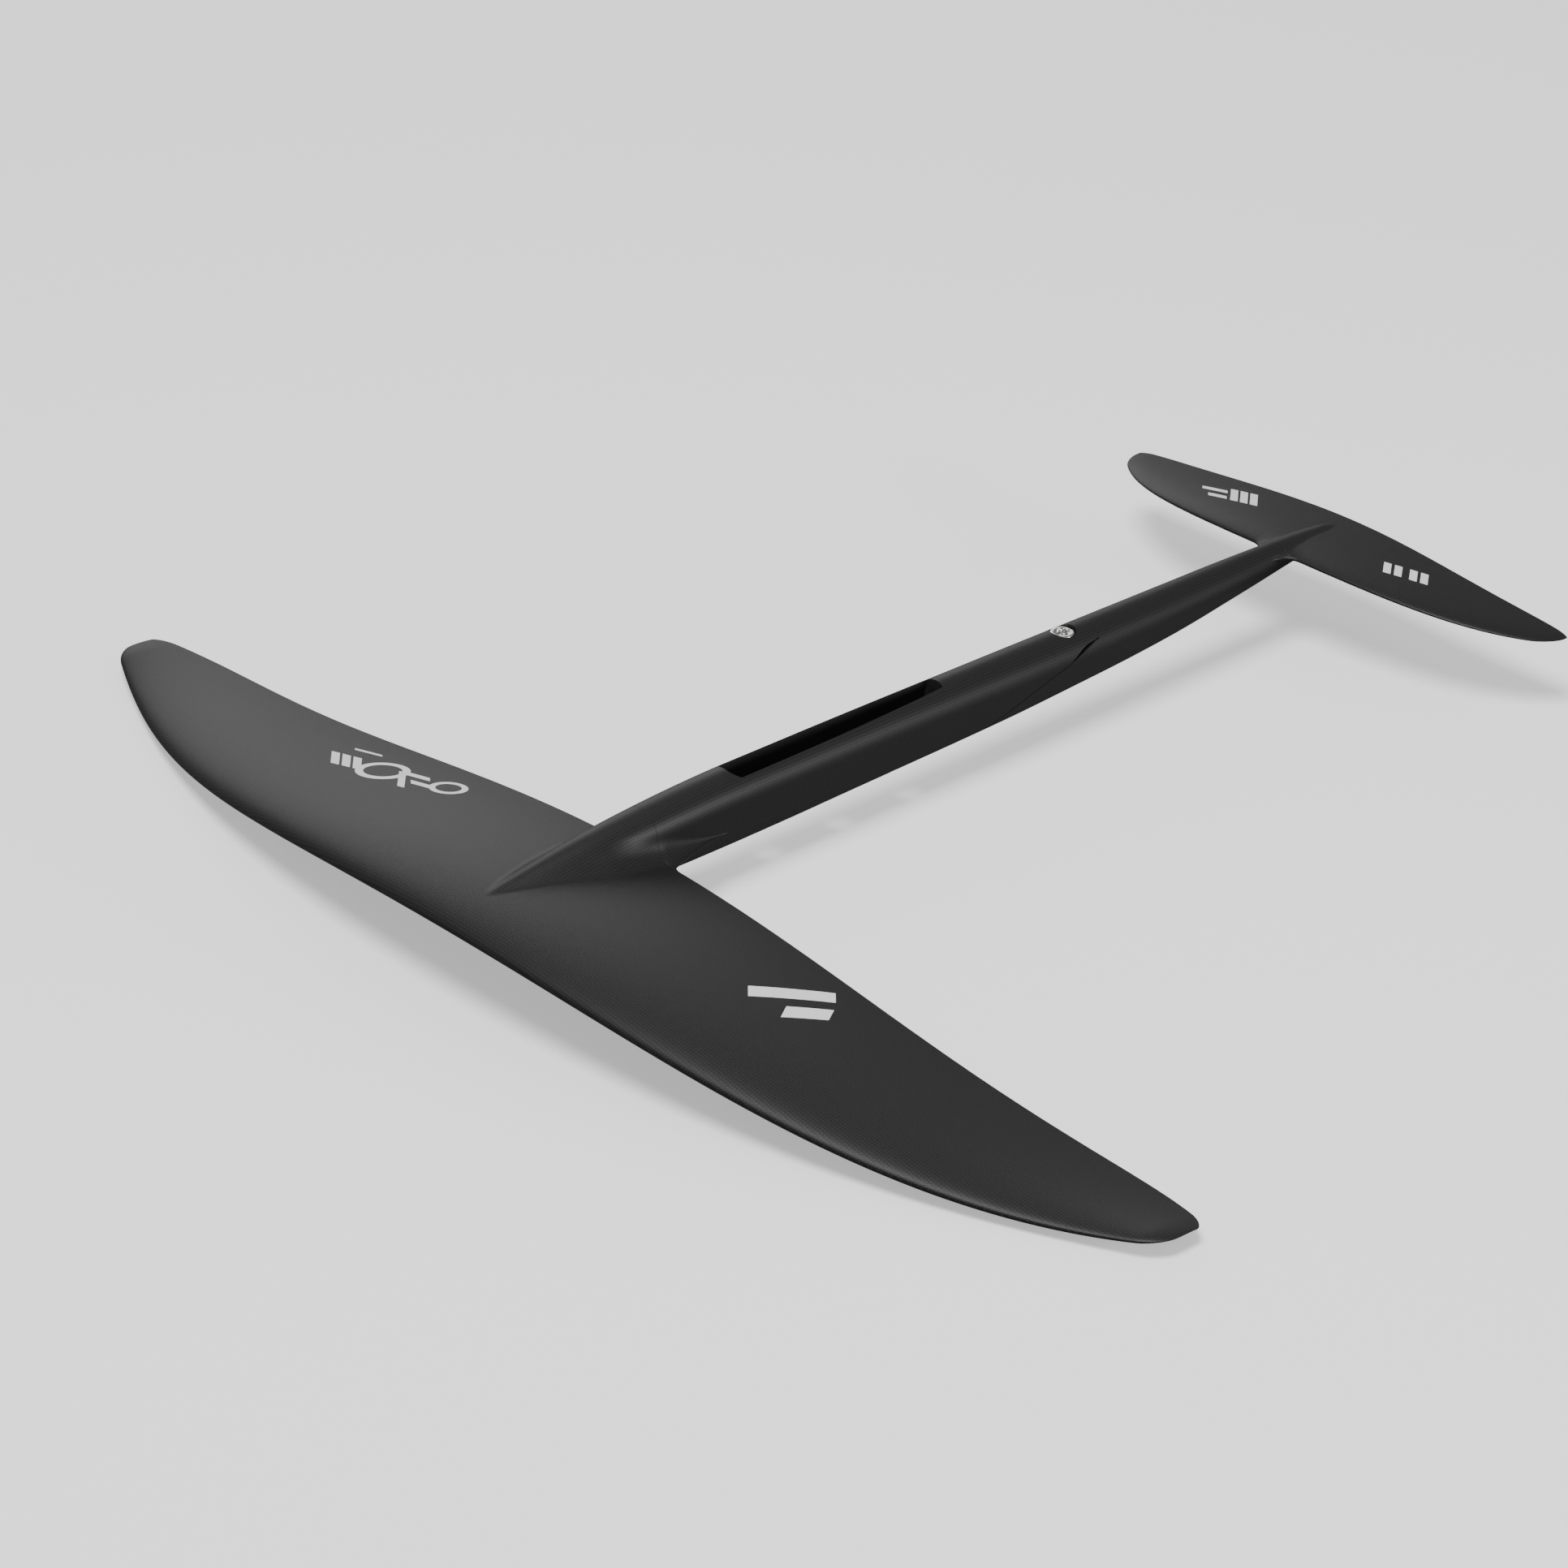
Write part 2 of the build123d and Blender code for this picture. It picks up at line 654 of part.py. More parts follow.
with BuildPart() as tail_lower_skin:
    add(tail_shell.part)
    add(tail_upper_half.part, mode=Mode.SUBTRACT)

with BuildPart() as tail_spar_space:
    with BuildSketch(level_plane(0)):
        with Locations((0, TAIL_SPAR_AFT)):
            Rectangle(2 * TAIL_SPAR_REACH, TAIL_SPAR_WIDTH)
    extrude(amount=FAR)

with BuildPart() as tail_spar:
    add(tail_filling.part)
    add(tail_spar_space.part, mode=Mode.INTERSECT)

with BuildPart() as tail_spar_cavity:
    with BuildSketch(level_plane(0)):
        with Locations((0, TAIL_SPAR_AFT)):
            Rectangle(2 * (TAIL_SPAR_REACH + BOND), TAIL_SPAR_WIDTH + 2 * BOND)
    extrude(amount=FAR)
    add(tail_cavity.part, mode=Mode.INTERSECT)

with BuildPart() as tail_fuselage_core:
    add(fuselage_filling.part)
    add(tail_space.part, mode=Mode.INTERSECT)
    add(tail_spar_cavity.part, mode=Mode.SUBTRACT)
    add(insert_hole.part, mode=Mode.SUBTRACT)

with BuildPart() as tail_foam:
    add(tail_filling.part)
    add(fuselage_cavity.part, mode=Mode.SUBTRACT)
    add(tail_spar_cavity.part, mode=Mode.SUBTRACT)

with BuildPart() as tail_core_right:
    add(tail_foam.part)
    split(bisect_by=Plane.YZ, keep=Keep.TOP)

with BuildPart() as tail_core_left:
    add(tail_foam.part)
    split(bisect_by=Plane.YZ, keep=Keep.BOTTOM)

with BuildPart() as tail_thread_insert:
    with BuildSketch(level_plane(INSERT_TOP)):
        with Locations((0, SCREW_AFT)):
            Circle(INSERT_RADIUS)
            Circle(SHANK_RADIUS + RUNNING_GAP, mode=Mode.SUBTRACT)
    extrude(amount=-INSERT_LENGTH)


# --- Joint screw ------------------------------------------------------------------

HEAD_UNDERSIDE = HEAD_TOP - HEAD_HEIGHT

with BuildPart() as joint_screw:
    with BuildSketch(level_plane(HEAD_UNDERSIDE)):
        with Locations((0, SCREW_AFT)):
            Circle(HEAD_RADIUS)
    extrude(amount=HEAD_HEIGHT)
    chamfer(edges().filter_by(GeomType.CIRCLE).sort_by(Axis.Z)[-1], length=HEAD_CHAMFER)
    with BuildSketch(level_plane(HEAD_UNDERSIDE)):
        with Locations((0, SCREW_AFT)):
            Circle(SHANK_RADIUS)
    extrude(amount=SCREW_TIP - HEAD_UNDERSIDE)
    with BuildSketch(level_plane(HEAD_TOP)):
        with Locations((0, SCREW_AFT)):
            Circle(STAR_CORE)
            with PolarLocations(STAR_RADIUS - STAR_LOBE, 6):
                Circle(STAR_LOBE)
    extrude(amount=-STAR_DEPTH, mode=Mode.SUBTRACT)

with BuildPart() as joint_washer:
    with BuildSketch(level_plane(HEAD_UNDERSIDE - FACE_GAP / 2)):
        with Locations((0, SCREW_AFT)):
            Circle(WASHER_RADIUS)
            Circle(SHANK_RADIUS + WASHER_CLEARANCE, mode=Mode.SUBTRACT)
    extrude(amount=-WASHER_THICKNESS)


# --- Write each piece -------------------------------------------------------------

PIECES = {
    "front_wing_upper_skin": front_wing_upper_skin,
    "front_wing_lower_skin": front_wing_lower_skin,
    "front_belly_skin": front_belly_skin,
    "front_wing_spar_cap_upper": front_wing_spar_cap_upper,
    "front_wing_spar_cap_lower": front_wing_spar_cap_lower,
    "front_wing_spar_web": front_wing_spar_web,
    "front_wing_nose_core_left": front_wing_nose_core_left,
    "front_wing_nose_core_right": front_wing_nose_core_right,
    "front_wing_aft_core_left": front_wing_aft_core_left,
    "front_wing_aft_core_right": front_wing_aft_core_right,
    "front_wing_edge_bar_left": front_wing_edge_bar_left,
    "front_wing_edge_bar_right": front_wing_edge_bar_right,
    "front_core_nose": front_core_nose,
    "front_core_floor": front_core_floor,
    "front_core_wall_left": front_core_wall_left,
    "front_core_wall_right": front_core_wall_right,
    "front_core_aft": front_core_aft,
    "mast_socket_liner": mast_socket_liner,
    "mast_screw_sleeves": mast_screw_sleeves,
    "joint_screw_seat": joint_screw_seat,
    "tail_upper_skin": tail_upper_skin,
    "tail_lower_skin": tail_lower_skin,
    "tail_spar": tail_spar,
    "tail_core_left": tail_core_left,
    "tail_core_right": tail_core_right,
    "tail_fuselage_core": tail_fuselage_core,
    "tail_thread_insert": tail_thread_insert,
    "joint_screw": joint_screw,
    "joint_washer": joint_washer,
}

for name, piece in PIECES.items():
    piece.part.label = name
    export_step(piece.part, f"parts/{name}.step")
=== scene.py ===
"""Looks of a carbon hydrofoil wing set: front wing with fuselage and mast socket, and a
tail wing whose fuselage joins on a sloping scarf with one star-drive screw.

Shapes are worked out in millimetres as span (along X), aft (behind the front wing's
leading edge at the root) and height (above its root chord line), and are put into the
frame, whose origin is the middle of the mast socket's floor, by to_frame().
"""

import math

import bmesh
import bpy
import numpy as np
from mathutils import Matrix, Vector


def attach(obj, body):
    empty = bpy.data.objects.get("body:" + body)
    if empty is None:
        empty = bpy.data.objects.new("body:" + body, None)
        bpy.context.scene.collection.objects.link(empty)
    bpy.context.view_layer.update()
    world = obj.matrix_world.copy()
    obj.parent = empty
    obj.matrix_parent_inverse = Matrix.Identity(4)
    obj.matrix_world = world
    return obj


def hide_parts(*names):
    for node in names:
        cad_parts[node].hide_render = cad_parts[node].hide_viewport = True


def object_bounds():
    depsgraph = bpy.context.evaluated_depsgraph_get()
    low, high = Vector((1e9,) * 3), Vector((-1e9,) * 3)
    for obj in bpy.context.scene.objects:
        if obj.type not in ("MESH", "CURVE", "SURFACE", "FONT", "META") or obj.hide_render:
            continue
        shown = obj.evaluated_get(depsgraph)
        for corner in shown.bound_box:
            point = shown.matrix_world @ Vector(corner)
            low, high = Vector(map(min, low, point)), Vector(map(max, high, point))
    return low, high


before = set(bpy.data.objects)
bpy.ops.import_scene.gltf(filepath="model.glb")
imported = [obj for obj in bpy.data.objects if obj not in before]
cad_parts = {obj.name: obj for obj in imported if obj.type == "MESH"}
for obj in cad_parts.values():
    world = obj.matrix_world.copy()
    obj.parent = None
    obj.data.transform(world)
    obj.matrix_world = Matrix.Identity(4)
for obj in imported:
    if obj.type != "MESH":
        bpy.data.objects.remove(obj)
CAD_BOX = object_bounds()

MAST_AFT = 264.0          # middle of the mast socket
FLOOR_HEIGHT = -6.0       # the socket's floor
MM = 0.001
UPPER, LOWER = 1, -1      # sides of a skin


def to_frame(span, aft, height):
    """Millimetres on the object to metres in the frame."""
    return np.stack([span, aft - MAST_AFT, height - FLOOR_HEIGHT], axis=-1) * MM


# --- Shape of the wings -----------------------------------------------------------

EDGE_THICKNESS = 0.7      # of the trailing edges
TIP_THINNING = 0.95       # how much of a wing's thickness goes towards the end of its tip
TIP_STEPS = 14


def tip_into(span, half_span, length):
    """0 inboard of the rounded tip, 1 at its end."""
    return np.clip((span - half_span + length) / length, 0.0, 1.0)


class FrontWing:
    half_span = 412.8
    ratio = 0.115
    camber = 0.015
    tip_length = 13.0

    @staticmethod
    def edges(span):
        """Leading and trailing edge: aft, aft, height, height."""
        span = np.abs(span)
        q = span / FrontWing.half_span
        into = tip_into(span, FrontWing.half_span, FrontWing.tip_length)
        rounding = 1.0 - np.sqrt(1.0 - into**2)
        lead = 66.4 * q**2 + 35.3 * q**4 - 7.7 * q**8 + 10.0 * rounding
        trail = 130.7 - 6.7 * q**2 + 37.9 * q**4 - 39.8 * q**8 - 5.0 * rounding
        droop = -89.4 * q**2 + 62.3 * q**4
        slope = -(0.036 + 0.012 * q**2)
        return lead, trail, droop + slope * (lead - 91.3), droop + slope * (trail - 91.3)


class TailWing:
    half_span = 166.2
    ratio = 0.10
    camber = 0.0
    tip_length = 11.0

    @staticmethod
    def edges(span):
        """Leading and trailing edge: aft, aft, height, height."""
        span = np.abs(span)
        q = span / TailWing.half_span
        into = tip_into(span, TailWing.half_span, TailWing.tip_length)
        rounding = 1.0 - np.sqrt(1.0 - into**2)
        lead = 604.8 + 21.0 * q**2 + 20.7 * q**4 + 7.3 * q**8 + 8.0 * rounding
        trail = 667.8 - 19.0 * q**2 + 26.7 * q**4 - 9.1 * q**8 - 2.0 * rounding
        height = 18.0 - 13.2 * q**2
        return lead, trail, height, height


def wing_point(wing, span, fraction):
    """Aft, height of the mean line and half thickness at a fraction of the chord."""
    lead, trail, lead_height, trail_height = wing.edges(span)
    chord = trail - lead
    aft = lead + chord * fraction
    mean = lead_height + (trail_height - lead_height) * fraction
    mean = mean + 4 * wing.camber * chord * fraction * (1 - fraction)
    curve = (0.2969 * np.sqrt(fraction) - 0.1260 * fraction - 0.3516 * fraction**2
             + 0.2843 * fraction**3 - 0.1015 * fraction**4)
    into = tip_into(np.abs(span), wing.half_span, wing.tip_length)
    left = np.sqrt(1.0 - TIP_THINNING * into**2)
    half = (5 * wing.ratio * chord * curve + EDGE_THICKNESS / 2 * fraction) * left
    return aft, mean, half


def wing_top(wing, span, aft):
    """Height of the upper surface of a wing."""
    lead, trail, _, _ = wing.edges(span)
    fraction = np.clip((aft - lead) / (trail - lead), 0.0, 1.0)
    _, mean, half = wing_point(wing, span, fraction)
    return mean + half


def tip_spans(wing):
    """Spans over the rounded tip, close together at its end."""
    return [wing.half_span - wing.tip_length * (1 - math.sin(math.pi / 2 * index / TIP_STEPS))
            for index in range(1, TIP_STEPS + 1)]


# --- Shape of the fuselage --------------------------------------------------------

NOSE = 10.0               # first and last station of the fuselage
TAIL = 652.0
# Crown height, crown radius, belly height and belly radius at even stations.
FUSELAGE = np.array([
    (7.6, 3.8, 0.0, 2.6),
    (14.9, 8.2, -10.0, 7.8),
    (20.9, 11.5, -14.8, 10.6),
    (24.4, 13.4, -16.9, 12.0),
    (26.2, 14.0, -17.3, 12.0),
    (26.4, 14.0, -16.9, 12.0),
    (26.4, 14.0, -16.0, 12.0),
    (26.2, 14.0, -15.1, 12.0),
    (25.9, 14.0, -14.2, 12.0),
    (25.6, 14.0, -12.9, 11.9),
    (25.2, 13.7, -10.7, 11.5),
    (24.9, 13.0, -8.2, 10.9),
    (24.7, 12.0, -4.4, 10.1),
    (24.5, 10.4, 1.4, 9.0),
    (23.8, 7.3, 7.4, 6.5),
    (21.3, 4.4, 14.4, 3.2),
])
RIDGE_ROUND = 14.0        # stretch over which the end of the fuselage is rounded off
RIDGE_DROP = 5.0          # how far its crown falls and its belly rises over that stretch
RIDGE_MOST_DROP = 0.48    # most of that, as a share of the fuselage's depth
RIDGE_END = 657.0
OVERRUN = (-0.02, 1.03)   # shares of its length between which the fuselage's curve is read
MOST_LEAN = 0.98          # of the tangents between its two circles


def fuselage_row(aft):
    """Smooth curve through the even stations: crown height and radius, belly height and radius."""
    place = np.clip((aft - NOSE) / (TAIL - NOSE), *OVERRUN) * (len(FUSELAGE) - 1)
    index = int(np.clip(math.floor(place), 0, len(FUSELAGE) - 2))
    t = place - index
    last = len(FUSELAGE) - 1
    here, there = FUSELAGE[index], FUSELAGE[index + 1]
    before = FUSELAGE[max(index - 1, 0)]
    after = FUSELAGE[min(index + 2, last)]
    slope_here = (there - before) / (2 if index > 0 else 1)
    slope_there = (after - here) / (2 if index + 2 <= last else 1)
    return (here * (2 * t**3 - 3 * t**2 + 1) + there * (3 * t**2 - 2 * t**3)
            + slope_here * (t**3 - 2 * t**2 + t) + slope_there * (t**3 - t**2))


def fuselage_at(aft):
    """The same with the end of the fuselage rounded off."""
    section = fuselage_row(aft)
    depth = section[0] - section[2]
    into = min(1.0, max(0.0, (aft - RIDGE_END + RIDGE_ROUND) / RIDGE_ROUND))
    drop = min(RIDGE_DROP * (1 - math.sqrt(1 - into * into)), RIDGE_MOST_DROP * depth)
    section = section - np.array([drop, 0.0, -drop, 0.0])
    section[[1, 3]] *= min(1.0, (depth - 2 * drop) / (section[1] + section[3]))
    return section


def fuselage_distance(section, span, height):
    """Distance from the outline of the crown's and belly's circles, joined by tangents."""
    crown, crown_radius, belly, belly_radius = section
    low = belly + belly_radius
    gap = max(crown - crown_radius - low, 1e-3)
    lean = np.clip((belly_radius - crown_radius) / gap, -MOST_LEAN, MOST_LEAN)
    rise = math.sqrt(1.0 - lean**2)
    across = np.abs(span)
    up = height - low
    along = -lean * across + rise * up
    side = rise * across + lean * up - belly_radius
    below = np.hypot(across, up) - belly_radius
    above = np.hypot(across, up - gap) - crown_radius
    return np.where(along < 0, below, np.where(along > rise * gap, above, side))


WIDEST = 30.0             # limits of the searches by halving
FARTHEST = 120.0
HALVINGS = 44


def side_span(section, height):
    """Half width of the fuselage at a height."""
    low, high = 0.0, WIDEST
    for _ in range(HALVINGS):
        middle = (low + high) / 2
        if fuselage_distance(section, middle, height) < 0:
            low = middle
        else:
            high = middle
    return low


def filleted(first, second, radius):
    """Distance from the union of two shapes with a round fillet between them."""
    blend = np.hypot(np.maximum(radius - first, 0), np.maximum(radius - second, 0))
    return np.maximum(radius, np.minimum(first, second)) - blend


POLE_DEPTH = 14.0         # from the end of an outline on a wing or on the fin
SIDE_POLE_DEPTH = 3.0     # from the end of an outline on the fuselage's own side
ON_SIDE = 0.01            # how close to that side counts as on it
RAYS = 260


def half_outline(section, shelf, end_span, end_height, radius, side):
    """Outline from the middle of the crown or belly out to end_span.

    shelf gives the height of the wing's surface, or of the seam, at a span. The outline
    is found along rays from a pole on the other side of the shelf.
    """
    on_side = section is not None \
        and abs(float(fuselage_distance(section, end_span, end_height))) < ON_SIDE
    pole = end_height - side * (SIDE_POLE_DEPTH if on_side else POLE_DEPTH)
    end_angle = math.atan2(end_span, side * (end_height - pole))
    angles = np.linspace(0.0, end_angle, RAYS)
    across, up = np.sin(angles), np.cos(angles)
    near = np.zeros(RAYS)
    far = np.full(RAYS, FARTHEST)
    for _ in range(HALVINGS):
        reach = (near + far) / 2
        span = reach * across
        height = pole + side * reach * up
        body = fuselage_distance(section, span, height) if section is not None else 1e3
        outside = filleted(body, side * (height - shelf(span)), radius) > 0
        far = np.where(outside, reach, far)
        near = np.where(outside, near, reach)
    span = near * across
    return span, pole + side * near * up


# --- Rows of the two skins --------------------------------------------------------
# A row is one cut across the fuselage. It says where the cut lies and how the outline
# ends: on the wing's surface, on the fin that fades out of a wing's edge, or on the seam.

ROOT_SPAN = 30.0          # where the front wing's own grid takes over from the middle
WING_ROWS = 72
FRONT_STEP = 2.0          # between the rows of the front part's fuselage
ROW_CLEAR = 0.7           # least distance of such a row from a fixed one
SAME_ROW = 1e-3
CORNER_STEPS = 9
COUNTERBORE_STEPS = 16
SLEEVE_STEPS = 14
TE_CORNER = 5.0           # radius between the trailing edge and the fuselage
TE_AFT = 130.6
CREASE_START = 1.857      # how far short of its end that corner turns into the crease
CREASE_POWER = 1.57       # how fast the crease closes on the side
FIN_END = 182.0           # where the fin behind the trailing edge has faded out
SEAM_START = -1.4         # mould seam's height at the trailing edge
SEAM_SLOPE = -0.0478
SCARF_LOW = (358.0, -12.3)
SCARF_HIGH = (452.0, 19.0)
SCARF_GAP = 0.3
CROWN_GAP = 0.06          # between the two parts across the crown
NOTCH_LENGTH = 24.0       # pry notch at the top of the scarf
NOTCH_HEIGHT = 2.0

TAIL_ROOT_SPAN = 18.0
TAIL_WING_ROWS = 52
TAIL_STEP = 2.2
LE_AFT = 605.05           # tail wing's leading edge at its root
LE_CORNER = 9.7           # radius between it and the fuselage
TAIL_SEAM_HEIGHT = 18.0
TAIL_LINE_SPAN = 5.0

UPPER_FILLET = 16.0       # between the front wing and the crown, and towards its trailing edge
TE_FILLET = 12.8
TE_FILLET_START = 70.0
TE_FILLET_LENGTH = 58.0
LOWER_FILLET = 10.0
TAIL_UPPER_FILLET = 8.0
TAIL_LOWER_FILLET = 7.0
FILLET_SHARE = 0.95       # most of the fuselage's rise above the wing

SOCKET_START = 188.0
SOCKET_END = 340.0
SOCKET_HALF_WIDTH = 10.2
SOCKET_CORNER = 8.5
SCREW_AFT = 435.0
COUNTERBORE = 7.6
SLEEVES = (214.0, 264.0, 314.0)
SLEEVE_RADIUS = 9.42
LEAST_HALF_WIDTH = 0.5    # where a round hole's edge closes across the middle


def corner_half(aft, span):
    """Half thickness of the tail wing inboard of its root, where its edge turns forward."""
    lead, trail, _, _ = TailWing.edges(np.array(TAIL_ROOT_SPAN))
    forward = max(0.0, aft - (LE_AFT - LE_CORNER))
    inboard = np.maximum(TAIL_ROOT_SPAN - span, 0.0)
    behind = np.clip(np.hypot(forward, inboard) - LE_CORNER, 0.0, None)
    fraction = np.clip(behind / (trail - lead), 0, 1)
    return wing_point(TailWing, np.array(TAIL_ROOT_SPAN), fraction)[2]


def fillet_room(section, shelf, side):
    """Largest fillet radius for the fuselage's rise above the wing."""
    extreme = section[0] if side > 0 else section[2]
    return FILLET_SHARE * max(0.0, side * (extreme - float(shelf(np.array(0.0)))))


def wing_row(wing, fraction, root_span, limits):
    """Row that follows one fraction of a wing's chord."""
    aft = float(wing_point(wing, np.array([root_span]), fraction)[0][0])
    section = fuselage_at(aft) if NOSE <= aft <= RIDGE_END else None

    def row(side):
        def shelf(span):
            _, mean, half = wing_point(wing, span, fraction)
            if wing is TailWing:
                half = np.where(span < root_span, np.maximum(half, corner_half(aft, span)), half)
            return mean + side * half

        radius = 0.0
        if section is not None:
            radius = min(limits(aft, side), fillet_room(section, shelf, side))
        end = float(shelf(np.array(root_span)))
        return section, shelf, root_span, end, radius

    return {"aft": aft, "row": row, "fraction": fraction, "wing": wing}


def seam_row(aft, height, fin_span, fin_thick, limits, rise=None):
    """Row aft of the front wing or ahead of the tail wing, ending on the fin or the seam.

    rise is the half thickness that the fin gains towards the fuselage, by aft and span.
    """
    section = fuselage_at(aft)

    def row(side):
        level = height + side * fin_thick
        beside = side_span(section, level)
        end_span = max(beside, fin_span)

        def shelf(span):
            return level + side * (rise(aft, span) if rise else span * 0)

        radius = min(limits(aft, side), end_span - beside, fillet_room(section, shelf, side))
        return section, shelf, end_span, level, radius

    return {"aft": aft, "row": row, "fraction": None, "wing": None}


def ease(value):
    """Smooth step from 0 to 1."""
    share = min(1.0, max(0.0, value))
    return share * share * (3 - 2 * share)


def front_fillet(aft, side):
    """Largest fillet radius between the front wing and its fuselage."""
    if side < 0:
        return LOWER_FILLET
    into = ease((aft - TE_FILLET_START) / TE_FILLET_LENGTH)
    return UPPER_FILLET - (UPPER_FILLET - TE_FILLET) * into


def tail_fillet(aft, side):
    """Largest fillet radius between the tail wing and its fuselage."""
    return TAIL_UPPER_FILLET if side > 0 else TAIL_LOWER_FILLET


def cosine(count):
    """Fractions from 0 to 1, close together at both ends."""
    return [(1 - math.cos(math.pi * index / count)) / 2 for index in range(count + 1)]


def seam_height(aft):
    """Height of the front part's mould seam behind the wing, then of the scarf."""
    if aft < SCARF_LOW[0]:
        return SEAM_START + SEAM_SLOPE * (aft - TE_AFT)
    share = (aft - SCARF_LOW[0]) / (SCARF_HIGH[0] - SCARF_LOW[0])
    return SCARF_LOW[1] + share * (SCARF_HIGH[1] - SCARF_LOW[1])


def notch_lift(aft):
    """Rise of the front part's edge over the pry notch at the top of the scarf."""
    share = (aft - SCARF_HIGH[0] + NOTCH_LENGTH) / NOTCH_LENGTH
    return NOTCH_HEIGHT * math.sin(math.pi * share) ** 1.5 if 0 < share < 1 else 0.0


def fin_half(aft):
    """Half thickness of the fin that carries the trailing edge into the side."""
    return EDGE_THICKNESS / 2 * max(0.0, 1 - (aft - TE_AFT) / (FIN_END - TE_AFT))


def fin_span_at(aft):
    """Span of the crease that runs from the trailing edge's corner along the side."""
    if aft >= FIN_END:
        return 0.0
    centre = TE_AFT + TE_CORNER
    turn_end = centre - CREASE_START
    if aft <= turn_end:
        return ROOT_SPAN - math.sqrt(TE_CORNER**2 - (centre - aft) ** 2)
    start = ROOT_SPAN - math.sqrt(TE_CORNER**2 - CREASE_START**2)
    left = max(0.0, 1 - (aft - turn_end) / (FIN_END - turn_end))
    beside = side_span(fuselage_at(aft), seam_height(aft))
    beside_start = side_span(fuselage_at(turn_end), seam_height(turn_end))
    return beside + (start - beside_start) * left**CREASE_POWER


def steps(start, end, size):
    """Even places from start to end, both included, about size apart."""
    count = max(1, round((end - start) / size))
    return [start + (end - start) * index / count for index in range(count + 1)]


def ring_places(centre, radius, count):
    """Places along a round hole, closer together where it closes."""
    reach = math.sqrt(radius**2 - LEAST_HALF_WIDTH**2)
    return [centre - reach * math.cos(math.pi * index / count) for index in range(count + 1)]


def quarter(count):
    """Angles from 0 to a right angle."""
    return [math.pi / 2 * index / count for index in range(count + 1)]


def corner_places(start, direction):
    """Places along a rounded corner of the socket."""
    return [start + direction * SOCKET_CORNER * (1 - math.cos(angle))
            for angle in quarter(CORNER_STEPS)]


def merged(*lists):
    """All places in order, each once."""
    places = sorted(place for places in lists for place in places)
    kept = [places[0]]
    for place in places[1:]:
        if place - kept[-1] > 1e-4:
            kept.append(place)
    return kept


def cleared(places, others):
    """The places that are not close to one of the others."""
    return [place for place in places if min(abs(place - other) for other in others) > ROW_CLEAR]


def front_rows(end, fixed):
    """Rows of the front part from its leading edge to a place on the fuselage."""
    rows = [wing_row(FrontWing, fraction, ROOT_SPAN, front_fillet)
            for fraction in cosine(WING_ROWS)]
    reach = TE_CORNER - 0.001
    turn = [TE_AFT + reach * (1 - math.cos(angle)) for angle in quarter(CORNER_STEPS)[1:]]
    even = steps(turn[-1], end, FRONT_STEP)
    for aft in merged(turn, cleared(even[1:-1], fixed), fixed, [end]):
        height = seam_height(aft) + notch_lift(aft)
        rows.append(seam_row(aft, height, fin_span_at(aft), fin_half(aft), front_fillet))
    return rows


def tail_seam_height(aft):
    """Height of the tail part's edge along the scarf, then of its mould seam."""
    if aft < SCARF_HIGH[0] + CROWN_GAP:
        return seam_height(max(aft - SCARF_GAP, SCARF_LOW[0])) - SCARF_GAP
    share = (aft - SCARF_HIGH[0]) / (LE_AFT - SCARF_HIGH[0])
    start = SCARF_HIGH[1] - SCARF_GAP
    return start + share * (TAIL_SEAM_HEIGHT - start)


def tail_rows(start):
    """Rows of the tail part from a place on the fuselage to its trailing edge."""
    corner = LE_AFT - LE_CORNER
    turn = [corner + LE_CORNER * math.sin(angle) for angle in quarter(CORNER_STEPS)[:-1]]
    rows = []
    for aft in merged(steps(start, corner, TAIL_STEP)[:-1], turn):
        fin, rise = 0.0, None
        if aft > corner:
            fin = TAIL_ROOT_SPAN - math.sqrt(LE_CORNER**2 - (aft - corner) ** 2)
            rise = corner_half
        rows.append(seam_row(aft, tail_seam_height(aft), fin, 0.0, tail_fillet, rise))
    rows += [wing_row(TailWing, fraction, TAIL_ROOT_SPAN, tail_fillet)
             for fraction in cosine(TAIL_WING_ROWS)]
    return rows


# --- Hole edges in the skins ------------------------------------------------------

def socket_half_width(aft):
    """Half width of the socket's mouth, and of its mirror image past each end."""
    inside = min(abs(aft - SOCKET_START), abs(aft - SOCKET_END))
    if inside >= SOCKET_CORNER:
        return SOCKET_HALF_WIDTH
    flat = SOCKET_HALF_WIDTH - SOCKET_CORNER
    return flat + math.sqrt(SOCKET_CORNER**2 - (SOCKET_CORNER - inside) ** 2)


def round_half_width(aft, centre, radius):
    """Half width of a round hole, and of its mirror image past its edge."""
    away = abs(aft - centre)
    if away > radius:
        away = max(0.0, 2 * radius - away)
    return max(LEAST_HALF_WIDTH, math.sqrt(max(0.0, radius**2 - away**2)))


def hole_ends(centre, radius):
    """Where a round hole starts and ends along the fuselage."""
    reach = math.sqrt(radius**2 - LEAST_HALF_WIDTH**2)
    return centre - reach, centre + reach


def upper_hole(aft):
    """Span of the grid line that becomes the edge of the holes in the front deck."""
    if aft < (SOCKET_END + SCREW_AFT) / 2:
        return socket_half_width(aft)
    if abs(aft - SCREW_AFT) < 2 * COUNTERBORE:
        return round_half_width(aft, SCREW_AFT, COUNTERBORE)
    return SOCKET_HALF_WIDTH if aft < SCREW_AFT else COUNTERBORE


def lower_hole(aft):
    """Span of the line that becomes the edge of the sleeves' holes in the belly."""
    nearest = min(SLEEVES, key=lambda centre: abs(centre - aft))
    if abs(aft - nearest) < 2 * SLEEVE_RADIUS:
        return round_half_width(aft, nearest, SLEEVE_RADIUS)
    return SLEEVE_RADIUS


